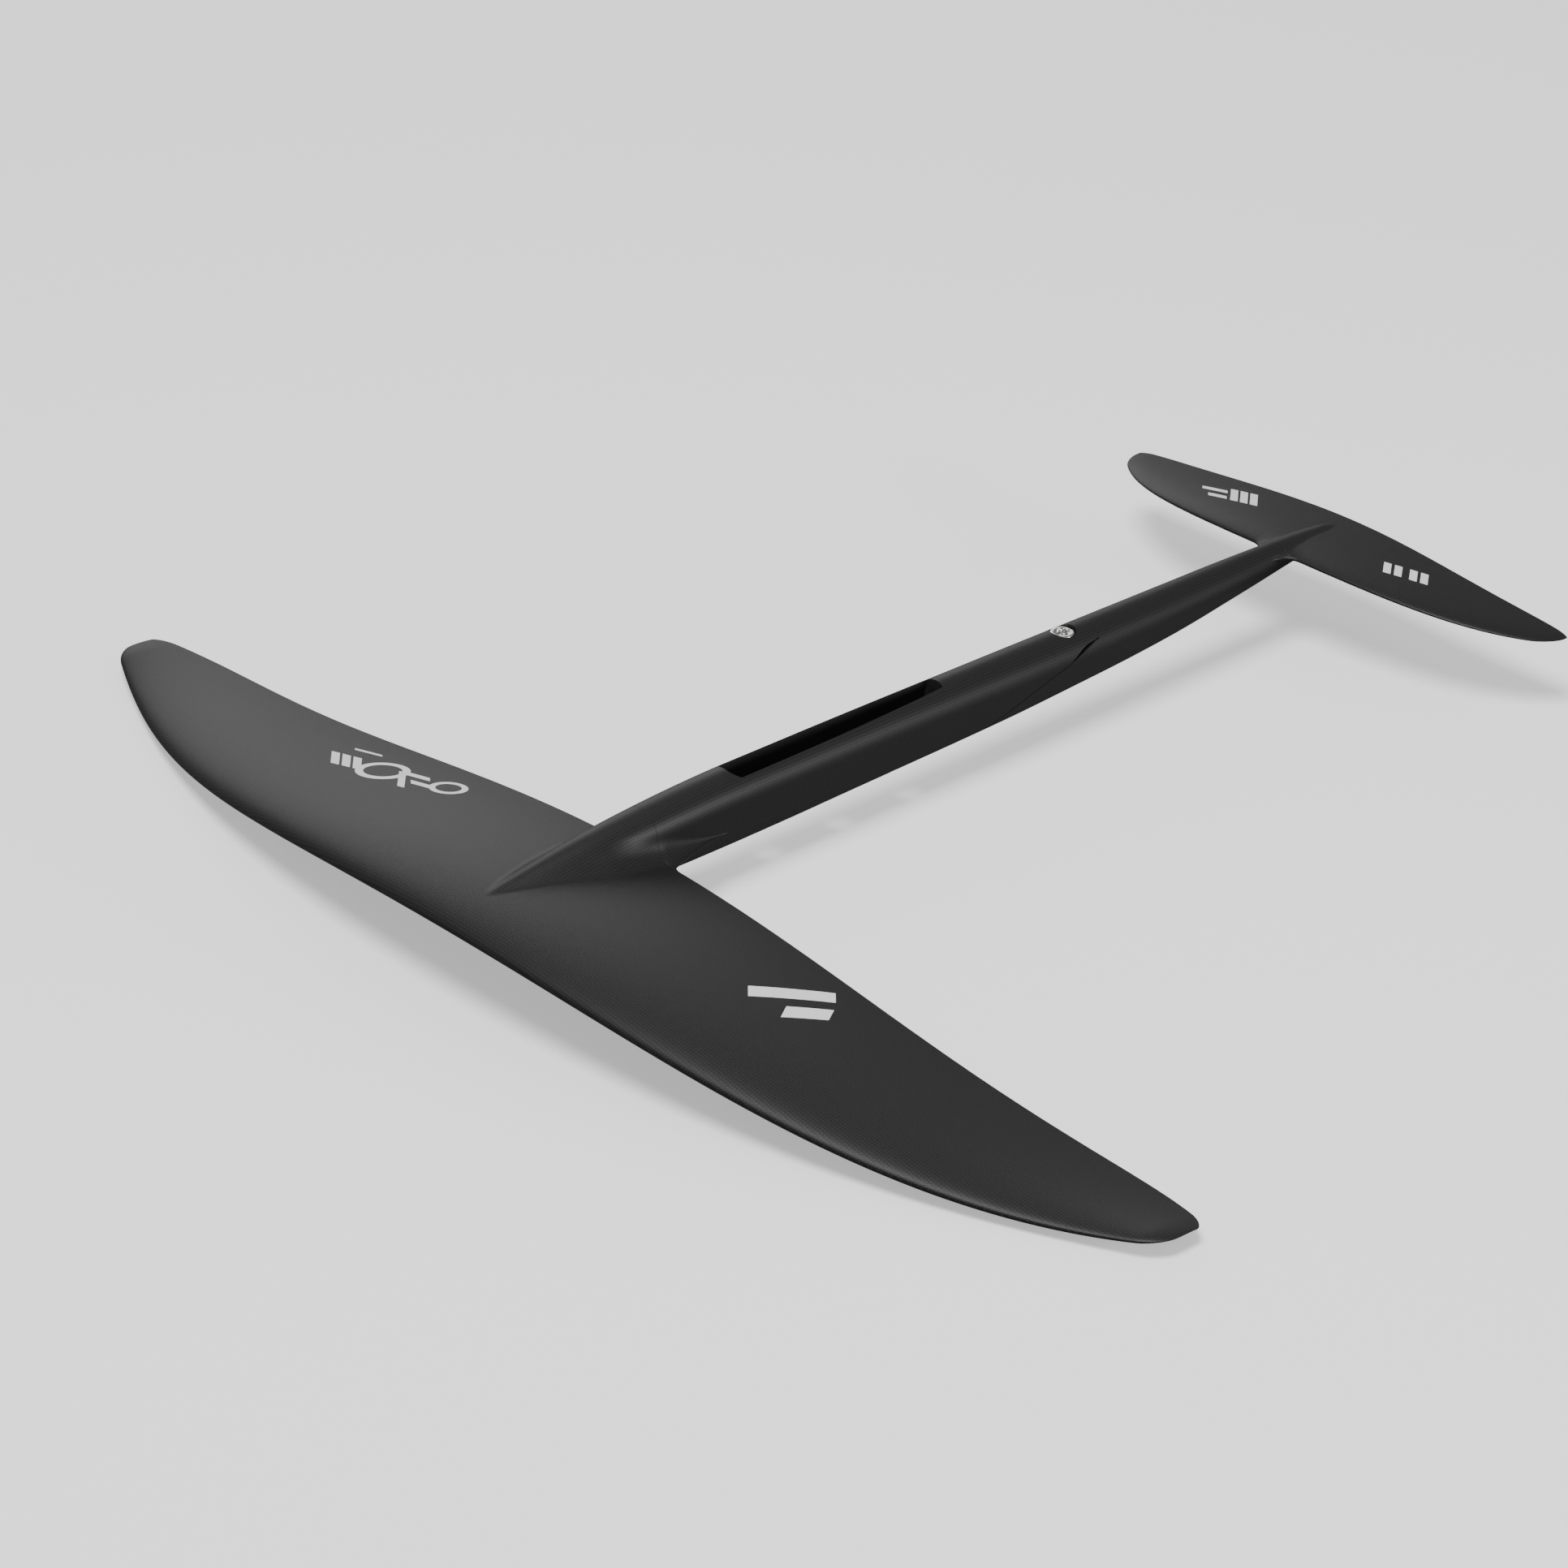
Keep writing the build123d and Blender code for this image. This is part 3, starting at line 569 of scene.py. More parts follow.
def no_hole(aft):
    """The same in the tail, where the line is only kept at an even span."""
    return TAIL_LINE_SPAN


# --- Grids ------------------------------------------------------------------------

HOLE_COLUMNS = 10         # from the middle to the edge of a hole
MIDDLE_COLUMNS = 56       # from the middle to the end of a row
HOLE_MOST = 0.75          # most of a row's span that a hole's edge takes up
WING_CLOTH_START = 0.62   # share of a row's span where the wing's cloth takes over
FRONT_WING_STEP = 3.0     # along the span
TAIL_WING_STEP = 2.0
# Where the grids are averaged along the fuselage: station, reach and width of the average
TE_EASE = (131.0, 14.0, 2.5)
LE_EASE = (603.0, 15.0, 3.0)
EASE_OUTER = 0.8          # share of a row past which nothing is averaged
EASE_FADE = 0.3           # share over which the average fades out before that


def spread(span, height, hole_span):
    """Even points along an outline, with one point at hole_span on it."""
    run = np.concatenate([[0.0], np.cumsum(np.hypot(np.diff(span), np.diff(height)))])
    rising = int(np.argmax(span > hole_span + 1e-6))
    rising = rising if rising else len(span) - 1
    at_hole = np.interp(hole_span, span[:rising + 1], run[:rising + 1])
    targets = np.concatenate([
        np.linspace(0.0, at_hole, HOLE_COLUMNS + 1),
        np.linspace(at_hole, run[-1], MIDDLE_COLUMNS - HOLE_COLUMNS + 1)[1:],
    ])
    return np.interp(targets, run, span), np.interp(targets, run, height), targets


def smoothed(rows, values, centre, reach, width):
    """Average a grid along the fuselage about one station, less towards its outer columns."""
    afts = np.array([row["aft"] for row in rows])
    share = np.linspace(0.0, 1.0, values.shape[1])
    inner = np.clip((EASE_OUTER - share) / EASE_FADE, 0.0, 1.0)
    result = values.copy()
    for index in np.nonzero(np.abs(afts - centre) < reach)[0]:
        close = np.exp(-((afts - afts[index]) / width) ** 2 / 2) * np.gradient(afts)
        average = close @ values / close.sum()
        blend = inner * (1 - (abs(afts[index] - centre) / reach) ** 2)
        result[index] = values[index] * (1 - blend) + average * blend
    return result


def middle_grid(rows, side, hole_span, corner):
    """Right half of the grid over the middle: span, aft, height and run, row by row."""
    spans, afts, heights, runs = [], [], [], []
    for entry in rows:
        section, shelf, end_span, end_height, radius = entry["row"](side)
        span, height = half_outline(section, shelf, end_span, end_height, radius, side)
        hole = min(hole_span(entry["aft"]), HOLE_MOST * end_span)
        span, height, run = spread(span, height, hole)
        span[-1] = end_span
        height[-1] = end_height
        if entry["wing"] is not None:
            aft = wing_point(entry["wing"], span, entry["fraction"])[0]
        else:
            aft = np.full_like(span, entry["aft"])
        spans.append(span)
        afts.append(aft)
        heights.append(height)
        runs.append(run)
    spans, heights = (smoothed(rows, np.array(values), *corner) for values in (spans, heights))
    return spans, np.array(afts), heights, np.array(runs)


def wing_grid(wing, side, fractions, root_span, size):
    """Right half of a wing outside the middle: span, aft and height, row by row."""
    outboard = steps(root_span, wing.half_span - wing.tip_length, size)[1:]
    span = np.array(outboard + tip_spans(wing))[None, :]
    fraction = np.array(fractions)[:, None]
    aft, mean, half = wing_point(wing, span, fraction)
    return span + 0 * aft, aft, mean + side * half


class Skin:
    """One side of one part: a grid over the middle, with the wings' grids beside it."""

    def __init__(self, rows, side, hole_span, holes, wing, root_span, size, corner):
        self.side = side
        self.wing_rows = [index for index, row in enumerate(rows) if row["wing"] is not None]
        fractions = [rows[index]["fraction"] for index in self.wing_rows]
        middle = middle_grid(rows, side, hole_span, corner)
        outer = wing_grid(wing, side, fractions, root_span, size)
        self.rows = rows
        self.points = {}
        self.vertices = []
        self.cloth = []
        for index in range(len(rows)):
            for column in range(MIDDLE_COLUMNS + 1):
                span, aft, height, run = (values[index, column] for values in middle)
                self._add(index, column, span, aft, height, run)
        for place, index in enumerate(self.wing_rows):
            for step in range(outer[0].shape[1]):
                span, aft, height = (values[place, step] for values in outer)
                self._add(index, MIDDLE_COLUMNS + 1 + step, span, aft, height, span)
        self.faces = []
        self.face_cloth = []
        patch = self._patch_column(middle)
        for index in range(len(rows) - 1):
            width = MIDDLE_COLUMNS
            if index in self.wing_rows and index + 1 in self.wing_rows:
                width += outer[0].shape[1]
            for column in range(width):
                open_here = column < HOLE_COLUMNS and any(
                    start - SAME_ROW <= rows[index]["aft"] and rows[index + 1]["aft"] <= end + SAME_ROW
                    for start, end in holes)
                if open_here:
                    continue
                on_wing = index in self.wing_rows and column >= patch[index]
                for mirror in (1, -1):
                    self._face(index, column, mirror, on_wing)

    def _add(self, index, column, span, aft, height, run):
        for mirror in (1, -1):
            if column == 0 and mirror == -1:
                self.points[index, 0, -1] = self.points[index, 0, 1]
                continue
            self.points[index, column, mirror] = len(self.vertices)
            self.vertices.append((mirror * span, aft, height))
            self.cloth.append((mirror * run, mirror * span, aft))

    def _patch_column(self, middle):
        """Column in each row where the fuselage's cloth meets the wing's."""
        share = np.argmax(middle[0] > WING_CLOTH_START * middle[0][:, -1:], axis=1)
        return np.maximum(share, 1)

    def _face(self, index, column, mirror, on_wing):
        corners = [(index, column), (index, column + 1), (index + 1, column + 1),
                   (index + 1, column)]
        ring = [self.points[row, place, mirror] for row, place in corners]
        if mirror * self.side < 0:
            ring.reverse()
        self.faces.append(ring)
        self.face_cloth.append(on_wing)

    def point(self, index, column, mirror):
        """One grid point in millimetres."""
        return np.array(self.vertices[self.points[index, column, mirror]])


def build_object(name, vertices, faces, smooth=True):
    """Mesh object from millimetre points."""
    mesh = bpy.data.meshes.new(name)
    points = np.array(vertices, dtype=float)
    mesh.from_pydata(to_frame(points[:, 0], points[:, 1], points[:, 2]).tolist(), [], faces)
    mesh.update()
    mesh.polygons.foreach_set("use_smooth", [smooth] * len(mesh.polygons))
    piece = bpy.data.objects.new(name, mesh)
    bpy.context.scene.collection.objects.link(piece)
    return piece


def skin_object(name, skin):
    """Object of a skin, with the cloth's coordinates in metres in its UV map."""
    piece = build_object(name, skin.vertices, skin.faces)
    layer = piece.data.uv_layers.new(name="cloth")
    values = []
    for face, on_wing in zip(skin.faces, skin.face_cloth):
        for corner in face:
            run, span, aft = skin.cloth[corner]
            values += [(span if on_wing else run) * MM, aft * MM]
    layer.data.foreach_set("uv", values)
    return piece


def share_normals(first, second):
    """Shade two skins as one surface where their edges meet."""
    seen = {}
    normals = []
    for piece in (first, second):
        count = len(piece.data.vertices)
        points = np.empty(count * 3)
        piece.data.vertices.foreach_get("co", points)
        points = points.reshape(-1, 3)
        directions = np.empty(count * 3)
        piece.data.vertex_normals.foreach_get("vector", directions)
        directions = directions.reshape(-1, 3)
        for index, key in enumerate(map(tuple, np.round(points * 1e6).astype(int))):
            seen.setdefault(key, []).append((len(normals), index))
        normals.append(directions)
    for places in seen.values():
        if len({which for which, _ in places}) == 2:
            total = sum(normals[which][index] for which, index in places)
            total = total / max(np.linalg.norm(total), 1e-9)
            for which, index in places:
                normals[which][index] = total
    for piece, directions in zip((first, second), normals):
        piece.data.normals_split_custom_set_from_vertices(directions.tolist())


# --- Edge strips and lips ---------------------------------------------------------

EDGE_STEP = 3.0
LIP = 1.55                # width of the edge that shows in the gap between the parts


def strip_object(name, upper, lower):
    """Band between two lines of points, with its mirror image."""
    vertices, faces = [], []
    for mirror in (1, -1):
        start = len(vertices)
        for high, low in zip(upper, lower):
            vertices.append((mirror * high[0], high[1], high[2]))
            vertices.append((mirror * low[0], low[1], low[2]))
        for index in range(len(upper) - 1):
            here = start + 2 * index
            ring = [here, here + 1, here + 3, here + 2]
            faces.append(ring if mirror > 0 else ring[::-1])
    return build_object(name, vertices, faces)


def wing_edge_lines(wing, root_span):
    """Upper and lower line along the trailing edge and round the tip."""
    inboard = steps(root_span, wing.half_span - wing.tip_length, EDGE_STEP)
    places = [(span, 1.0) for span in inboard + tip_spans(wing)]
    places += [(wing.half_span, fraction) for fraction in reversed(cosine(WING_ROWS)[:-1])]
    lines = ([], [])
    for span, fraction in places:
        aft, mean, half = wing_point(wing, np.array(span), fraction)
        lines[0].append((span, float(aft), float(mean + half)))
        lines[1].append((span, float(aft), float(mean - half)))
    return lines


def fin_lines():
    """Upper and lower line of the fin from where it fades out to the trailing edge."""
    turn = [TE_AFT + TE_CORNER * (1 - math.cos(angle)) for angle in quarter(CORNER_STEPS)[:-1]]
    lines = ([], [])
    for aft in reversed(turn[1:] + steps(turn[-1] + FRONT_STEP, FIN_END, FRONT_STEP)):
        for side, line in zip((UPPER, LOWER), lines):
            level = seam_height(aft) + side * fin_half(aft)
            span = max(side_span(fuselage_at(aft), level), fin_span_at(aft))
            line.append((span, aft, level))
    return lines


def lip_object(name, line, inward):
    """Band LIP wide turned inward from a line of points, with its mirror image."""
    inner = [(max(0.0, point[0] + LIP * step[0]), point[1], point[2] + LIP * step[1])
             for point, step in zip(line, inward)]
    return strip_object(name, line, inner)


def row_line(skin, index):
    """Points of one row of a skin from the middle outward, and their inward directions."""
    line = [skin.point(index, column, 1) for column in range(MIDDLE_COLUMNS + 1)]
    inward = []
    for column in range(MIDDLE_COLUMNS + 1):
        along = line[min(column + 1, MIDDLE_COLUMNS)] - line[max(column - 1, 0)]
        length = max(math.hypot(along[0], along[2]), 1e-6)
        inward.append((along[2] / length * skin.side, -along[0] / length * skin.side))
    return line, inward


def row_indices(skin, start, end):
    """Rows of a skin between two stations on the fuselage."""
    return [index for index, row in enumerate(skin.rows)
            if row["wing"] is None and start - SAME_ROW <= row["aft"] <= end + SAME_ROW]


def side_line(skin, start, end):
    """Points of a skin's outer edge between two stations, turned straight inward."""
    rows = row_indices(skin, start, end)
    return [skin.point(index, MIDDLE_COLUMNS, 1) for index in rows], [(-1.0, 0.0)] * len(rows)


# --- Socket and counterbore -------------------------------------------------------

RAMP = 7.0                # how far the socket's aft end leans forward at the floor
FLOOR_ROUND = 2.5
FOOT_STEPS = 6
WALL_STEP = 0.08          # between the rings of the socket's wall, as a share of its height
SOCKET_FLOOR = FLOOR_HEIGHT + 0.02
MAST_HOLE_RADIUS = 4.25
MAST_HOLE_SIDES = 40
LINER_FLOOR = 2.0         # depth of the mast holes through the socket's lining
SEAT_TOP = 18.35          # foot of the joint screw's counterbore


def hole_ring(skin, start, end):
    """Edge of a hole in a skin as a closed ring of points."""
    rows = row_indices(skin, start, end)
    first = [skin.point(rows[0], column, 1) for column in range(HOLE_COLUMNS)]
    side = [skin.point(row, HOLE_COLUMNS, 1) for row in rows]
    last = [skin.point(rows[-1], column, 1) for column in reversed(range(HOLE_COLUMNS))]
    right = first + side + last
    left = [np.array((-point[0], point[1], point[2])) for point in reversed(right[1:-1])]
    return right + left


def ring_faces(levels, count):
    """Faces between rings of count points each, turned to the inside."""
    faces = []
    for level in range(levels - 1):
        for index in range(count):
            here = level * count + index
            there = level * count + (index + 1) % count
            faces.append([here, there, there + count, here + count])
    return faces


def toward_middle(point, inset):
    """A point of the socket's outline moved inward by an inset."""
    span, aft = point[0], point[1]
    straight = SOCKET_HALF_WIDTH - SOCKET_CORNER
    near, far = SOCKET_START + SOCKET_CORNER, SOCKET_END - SOCKET_CORNER
    centre = (float(np.clip(span, -straight, straight)), float(np.clip(aft, near, far)))
    away = (span - centre[0], aft - centre[1])
    length = max(math.hypot(*away), 1e-6)
    keep = max(0.0, 1 - inset / length)
    return centre[0] + away[0] * keep, centre[1] + away[1] * keep


def socket_lining(skin):
    """Inside of the mast socket: walls, a sloping aft end, rounded foot and pierced floor."""
    mouth = hole_ring(skin, SOCKET_START, SOCKET_END)
    vertices, rings = [], []
    top_of_foot = SOCKET_FLOOR + FLOOR_ROUND
    for share in steps(0.0, 1.0, WALL_STEP):
        rings.append([(point, point[2] + (top_of_foot - point[2]) * share, 0.0) for point in mouth])
    for angle in quarter(FOOT_STEPS)[1:]:
        inset = FLOOR_ROUND * (1 - math.cos(angle))
        height = SOCKET_FLOOR + FLOOR_ROUND * (1 - math.sin(angle))
        rings.append([(point, height, inset) for point in mouth])
    for ring in rings:
        for point, height, inset in ring:
            span, aft = toward_middle(point, inset)
            depth = (point[2] - height) / (point[2] - SOCKET_FLOOR)
            into_end = max(0.0, (aft - SOCKET_END + SOCKET_CORNER) / SOCKET_CORNER)
            vertices.append((span, aft - RAMP * depth * into_end, height))
    piece = build_object("socket_lining", vertices, ring_faces(len(rings), len(mouth)))
    pierce_floor(piece, (len(rings) - 1) * len(mouth), len(mouth))
    return piece


def pierce_floor(piece, start, count):
    """Close the socket's floor, leaving the holes for the mast's screws."""
    shape = bmesh.new()
    shape.from_mesh(piece.data)
    shape.verts.ensure_lookup_table()
    rim = [shape.verts[start + index] for index in range(count)]
    edges = [shape.edges.get((rim[index], rim[(index + 1) % count])) for index in range(count)]
    level = rim[0].co.z
    for centre in SLEEVES:
        rings = []
        for depth in (0.0, LINER_FLOOR):
            ring = []
            for index in range(MAST_HOLE_SIDES):
                angle = 2 * math.pi * index / MAST_HOLE_SIDES
                place = to_frame(MAST_HOLE_RADIUS * math.cos(angle),
                                 centre + MAST_HOLE_RADIUS * math.sin(angle), 0.0)
                ring.append(shape.verts.new((place[0], place[1], level - depth * MM)))
            rings.append(ring)
        for index in range(MAST_HOLE_SIDES):
            after = (index + 1) % MAST_HOLE_SIDES
            wall = shape.faces.new((rings[0][index], rings[0][after],
                                    rings[1][after], rings[1][index]))
            wall.smooth = True
            edges.append(shape.edges.get((rings[0][index], rings[0][after])))
    floor = bmesh.ops.triangle_fill(shape, edges=edges, use_beauty=True, use_dissolve=False)
    for face in floor["geom"]:
        if isinstance(face, bmesh.types.BMFace) and face.normal.z < 0:
            face.normal_flip()
    shape.to_mesh(piece.data)
    shape.free()


def counterbore_wall(skin):
    """Wall of the joint screw's counterbore, from the skin down to the seat."""
    rim = hole_ring(skin, *hole_ends(SCREW_AFT, COUNTERBORE))
    vertices = [tuple(point) for point in rim] + [(point[0], point[1], SEAT_TOP) for point in rim]
    return build_object("screw_counterbore", vertices, ring_faces(2, len(rim)))


# --- Joint screw ------------------------------------------------------------------

HEAD_TOP = 23.7
HEAD_UNDERSIDE = 19.2
HEAD_RADIUS = 7.0
HEAD_FLAT = 5.4           # radius of the ring between the recess and the head's round edge
HEAD_ROUND = 1.0          # width and depth of that edge
HEAD_ROUND_DEPTH = 0.7
HEAD_ROUND_STEPS = 7
HEAD_BEVEL = 0.15
BREAK = 0.3               # broken edges of the recess, the neck and the thread
SHANK_RADIUS = 4.0
SCREW_TIP = -1.0
TIP_LENGTH = 1.0
TIP_BEVEL = 0.5
THREAD_PITCH = 1.25
THREAD_DEPTH = 0.6
THREAD_TOP = 13.0
STAR_RADIUS = 3.36        # middle of the recess's lobes, and how far they go in and out
STAR_LOBE = 0.52
STAR_DEPTH = 3.0
STAR_BREAK = 0.28
LEAST_RADIUS = 0.05       # where the screw closes on its axis
AROUND = 96


def star(share=1.0, offset=0.0):
    """Radius by angle of the six-lobed recess, scaled and offset."""
    return lambda angle: share * (STAR_RADIUS + STAR_LOBE * math.cos(6 * angle)) + offset


def plain(radius):
    """The same radius at every angle."""
    return lambda angle: radius


def threaded(height):
    """Radius by angle of the thread at one height."""
    def radius(angle):
        turn = (height / THREAD_PITCH + angle / (2 * math.pi)) % 1.0
        return SHANK_RADIUS - THREAD_DEPTH * (1 - abs(2 * turn - 1))
    return radius


def screw_rings():
    """Rings of the screw from the middle of the recess to the tip: radius by angle, height."""
    recess_floor = HEAD_TOP - STAR_DEPTH
    rings = [
        (plain(LEAST_RADIUS), recess_floor - 0.8),
        (star(share=0.6), recess_floor - 0.25),
        (star(offset=-0.06), recess_floor),
        (star(), recess_floor + 0.05),
        (star(), HEAD_TOP - BREAK),
        (star(offset=STAR_BREAK), HEAD_TOP),
        (plain(HEAD_FLAT), HEAD_TOP),
    ]
    for turn in quarter(HEAD_ROUND_STEPS):
        radius = HEAD_RADIUS - HEAD_ROUND + HEAD_ROUND * math.sin(turn)
        rings.append((plain(radius), HEAD_TOP - HEAD_ROUND_DEPTH * (1 - math.cos(turn))))
    rings += [
        (plain(HEAD_RADIUS), HEAD_UNDERSIDE + HEAD_BEVEL),
        (plain(HEAD_RADIUS - HEAD_BEVEL), HEAD_UNDERSIDE),
        (plain(SHANK_RADIUS + BREAK), HEAD_UNDERSIDE),
        (plain(SHANK_RADIUS), HEAD_UNDERSIDE - BREAK),
        (plain(SHANK_RADIUS), THREAD_TOP + BREAK),
    ]
    for height in reversed(steps(SCREW_TIP + TIP_LENGTH, THREAD_TOP, THREAD_PITCH / 10)):
        rings.append((threaded(height), height))
    rings += [
        (plain(SHANK_RADIUS - THREAD_DEPTH - TIP_BEVEL), SCREW_TIP),
        (plain(LEAST_RADIUS), SCREW_TIP),
    ]
    return rings


def joint_screw():
    """Low-head screw with a six-lobed recess and a threaded shank."""
    vertices = []
    rings = screw_rings()
    for radius, height in rings:
        for index in range(AROUND):
            angle = 2 * math.pi * index / AROUND
            reach = radius(angle)
            vertices.append((reach * math.cos(angle), SCREW_AFT + reach * math.sin(angle), height))
    faces = [[first, fourth, third, second]
             for first, second, third, fourth in ring_faces(len(rings), AROUND)]
    return build_object("star_drive_screw", vertices, faces)


# --- Printed marks, as plain shapes -----------------------------------------------

PRINT_LIFT = 0.04         # height of the ink over the skin
PRINT_CELL = 1.5
PRINT_RING_SIDES = 40


class Print:
    """Plain printed shapes on a wing's upper surface, inside one slanted box.

    corner, across and down are span and aft: the box's first corner, and the ways
    to its next two. Shapes are given in shares of the box.
    """

    def __init__(self, name, wing, corner, across, down):
        self.name = name
        self.wing = wing
        self.corner = np.array(corner)
        self.across = np.array(across)
        self.down = np.array(down)
        self.vertices = []
        self.faces = []

    def _place(self, u, v):
        span, aft = self.corner + self.across * u + self.down * v
        height = float(wing_top(self.wing, np.array(span), np.array(aft))) + PRINT_LIFT
        return span, aft, height

    def quad(self, corners):
        """Four-sided shape from its corners, cut into small cells."""
        first, second, third, fourth = (np.array(corner) for corner in corners)
        along = max(2, int(np.linalg.norm((second - first) * self._size()) / PRINT_CELL))
        beside = max(1, int(np.linalg.norm((fourth - first) * self._size()) / PRINT_CELL))
        start = len(self.vertices)
        for row in range(beside + 1):
            for column in range(along + 1):
                s, t = column / along, row / beside
                place = (first * (1 - s) + second * s) * (1 - t) + (fourth * (1 - s) + third * s) * t
                self.vertices.append(self._place(*place))
        for row in range(beside):
            for column in range(along):
                here = start + row * (along + 1) + column
                self.faces.append([here, here + along + 1, here + along + 2, here + 1])

    def _size(self):
        return np.array([np.linalg.norm(self.across), np.linalg.norm(self.down)])

    def block(self, left, top, width, height, slope=0.0, slant=0.0):
        """Upright block whose foot and head slope and whose sides slant."""
        drop = slope * width
        self.quad([(left + slant, top), (left + slant + width, top + drop),
                   (left + width, top + drop + height), (left, top + height)])

    def ring(self, centre, radius, width):
        """Ring with its radius in shares of the box's height."""
        size = self._size()
        scale = np.array([size[1] / size[0], 1.0])
        for index in range(PRINT_RING_SIDES):
            angles = [2 * math.pi * step / PRINT_RING_SIDES for step in (index, index + 1)]
            corners = [(angle, reach) for angle in angles for reach in (radius, radius - width)]
            points = [np.array(centre) + scale * reach * np.array([math.cos(angle), math.sin(angle)])
                      for angle, reach in corners]
            self.quad([points[0], points[2], points[3], points[1]])

    def build(self):
        """Object of all the shapes."""
        return build_object(self.name, self.vertices, self.faces)


def right_wing_print():
    """Two large slanted bars."""
    mark = Print("right_wing_print", FrontWing, (138.0, 82.0), (18.0, 47.0), (28.0, -25.0))
    mark.block(0.0, 0.06, 0.92, 0.26, slope=0.25)
    mark.block(0.34, 0.62, 0.5, 0.26, slope=0.25, slant=0.06)
    return mark.build()


def left_wing_print():
    """A row of blocks, a thin line, a ring and two bars, one after the other down a slope."""
    mark = Print("left_wing_print", FrontWing, (-221.0, 97.0), (48.0, 55.0), (70.0, -53.0))
    for place in (0.02, 0.1, 0.18):
        mark.block(place, 0.08 + 0.7 * place, 0.06, 0.24, slope=0.7, slant=0.01)
    mark.block(0.2, 0.02, 0.2, 0.04, slope=0.7)
    mark.ring((0.4, 0.5), 0.17, 0.05)
    mark.block(0.5, 0.5, 0.05, 0.3, slope=0.7, slant=0.02)
    mark.block(0.58, 0.52, 0.16, 0.07, slope=0.7)
    mark.block(0.6, 0.68, 0.14, 0.07, slope=0.7)
    mark.ring((0.87, 0.82), 0.12, 0.04)
    return mark.build()


def left_tail_print():
    """Blocks beside two thin lines."""
    mark = Print("left_tail_print", TailWing, (-92.7, 640.8), (21.8, 25.0), (25.9, -27.0))
    for place in (0.5, 0.67, 0.84):
        mark.block(place, 0.2 + 0.6 * (place - 0.5), 0.13, 0.5, slope=0.6, slant=0.02)
    mark.block(0.02, 0.02, 0.44, 0.12, slope=0.6)
    mark.block(0.12, 0.34, 0.32, 0.12, slope=0.6)
    return mark.build()


def right_tail_print():
    """A row of slanted blocks."""
    mark = Print("right_tail_print", TailWing, (50.0, 639.0), (16.0, 27.6), (23.8, -25.9))
    for place in (0.02, 0.22, 0.5, 0.7):
        mark.block(place, 0.06 + 0.62 * place, 0.14, 0.36, slope=0.62, slant=0.03)
    return mark.build()


# --- Materials --------------------------------------------------------------------

class Nodes:
    """A material's node tree with short ways to add to it."""

    def __init__(self, name):
        self.material = bpy.data.materials.new(name)
        self.material.use_nodes = True
        self.tree = self.material.node_tree
        self.shader = self.tree.nodes["Principled BSDF"]

    def add(self, kind, **settings):
        node = self.tree.nodes.new(kind)
        for name, value in settings.items():
            setattr(node, name, value)
        return node

    def connect(self, source, target):
        self.tree.links.new(source, target)

    def math(self, operation, *values):
        """Math node whose inputs are numbers or other nodes' outputs."""
        node = self.add("ShaderNodeMath", operation=operation)
        for socket, value in zip(node.inputs, values):
            if isinstance(value, (int, float)):
                socket.default_value = value
            else:
                self.connect(value, socket)
        return node.outputs[0]

    def shade(self, factor, dark, light):
        """Grey between two values."""
        node = self.add("ShaderNodeMapRange")
        node.inputs["To Min"].default_value = dark
        node.inputs["To Max"].default_value = light
        self.connect(factor, node.inputs["Value"])
        return node.outputs["Result"]

    def grey(self, value):
        """Use a value as the material's grey."""
        colour = self.add("ShaderNodeCombineColor")
        for socket in colour.inputs[:3]:
            self.connect(value, socket)
        self.connect(colour.outputs[0], self.shader.inputs["Base Color"])


TOW = 1.2 * MM            # width of one tow of the weave
TOW_ROUND = 0.5           # power that rounds a tow's section
PAINTED_WARP_SHADE = 0.55          # painted sheen: how much darker the tows that run the one way are painted than those that run the other
WEAVE_BUMP = 0.35


def add_weave(nodes, across, along, dark, light, depth):
    """Plain weave laid at 45 degrees over two coordinates in metres."""
    diagonal = math.sqrt(2) * TOW
    warp = nodes.math("DIVIDE", nodes.math("ADD", across, along), diagonal)
    weft = nodes.math("DIVIDE", nodes.math("SUBTRACT", across, along), diagonal)
    warp_cell = nodes.math("FLOOR", warp)
    weft_cell = nodes.math("FLOOR", weft)
    turn = nodes.math("FLOORED_MODULO", nodes.math("ADD", warp_cell, weft_cell), 2.0)
    warp_in = nodes.math("SUBTRACT", nodes.math("SUBTRACT", warp, warp_cell), 0.5)
    weft_in = nodes.math("SUBTRACT", nodes.math("SUBTRACT", weft, weft_cell), 0.5)
    warp_round = nodes.math("COSINE", nodes.math("MULTIPLY", warp_in, math.pi))
    weft_round = nodes.math("COSINE", nodes.math("MULTIPLY", weft_in, math.pi))
    on_top = nodes.math("ADD", nodes.math("MULTIPLY", turn, weft_round),
                        nodes.math("MULTIPLY", nodes.math("SUBTRACT", 1.0, turn), warp_round))
    round_tow = nodes.math("POWER", nodes.math("MAXIMUM", on_top, 0.0), TOW_ROUND)
    # painted sheen: cells where the warp lies on top are painted darker than the others; the darker
    # gaps between the tows are the cloth's own
    weave_and_sheen = nodes.math("MULTIPLY", round_tow, nodes.shade(turn, PAINTED_WARP_SHADE, 1.0))
    nodes.grey(nodes.shade(weave_and_sheen, dark, light))
    bump = nodes.add("ShaderNodeBump")
    bump.inputs["Distance"].default_value = depth
    bump.inputs["Strength"].default_value = WEAVE_BUMP
    nodes.connect(weave_and_sheen, bump.inputs["Height"])
    nodes.connect(bump.outputs["Normal"], nodes.shader.inputs["Normal"])


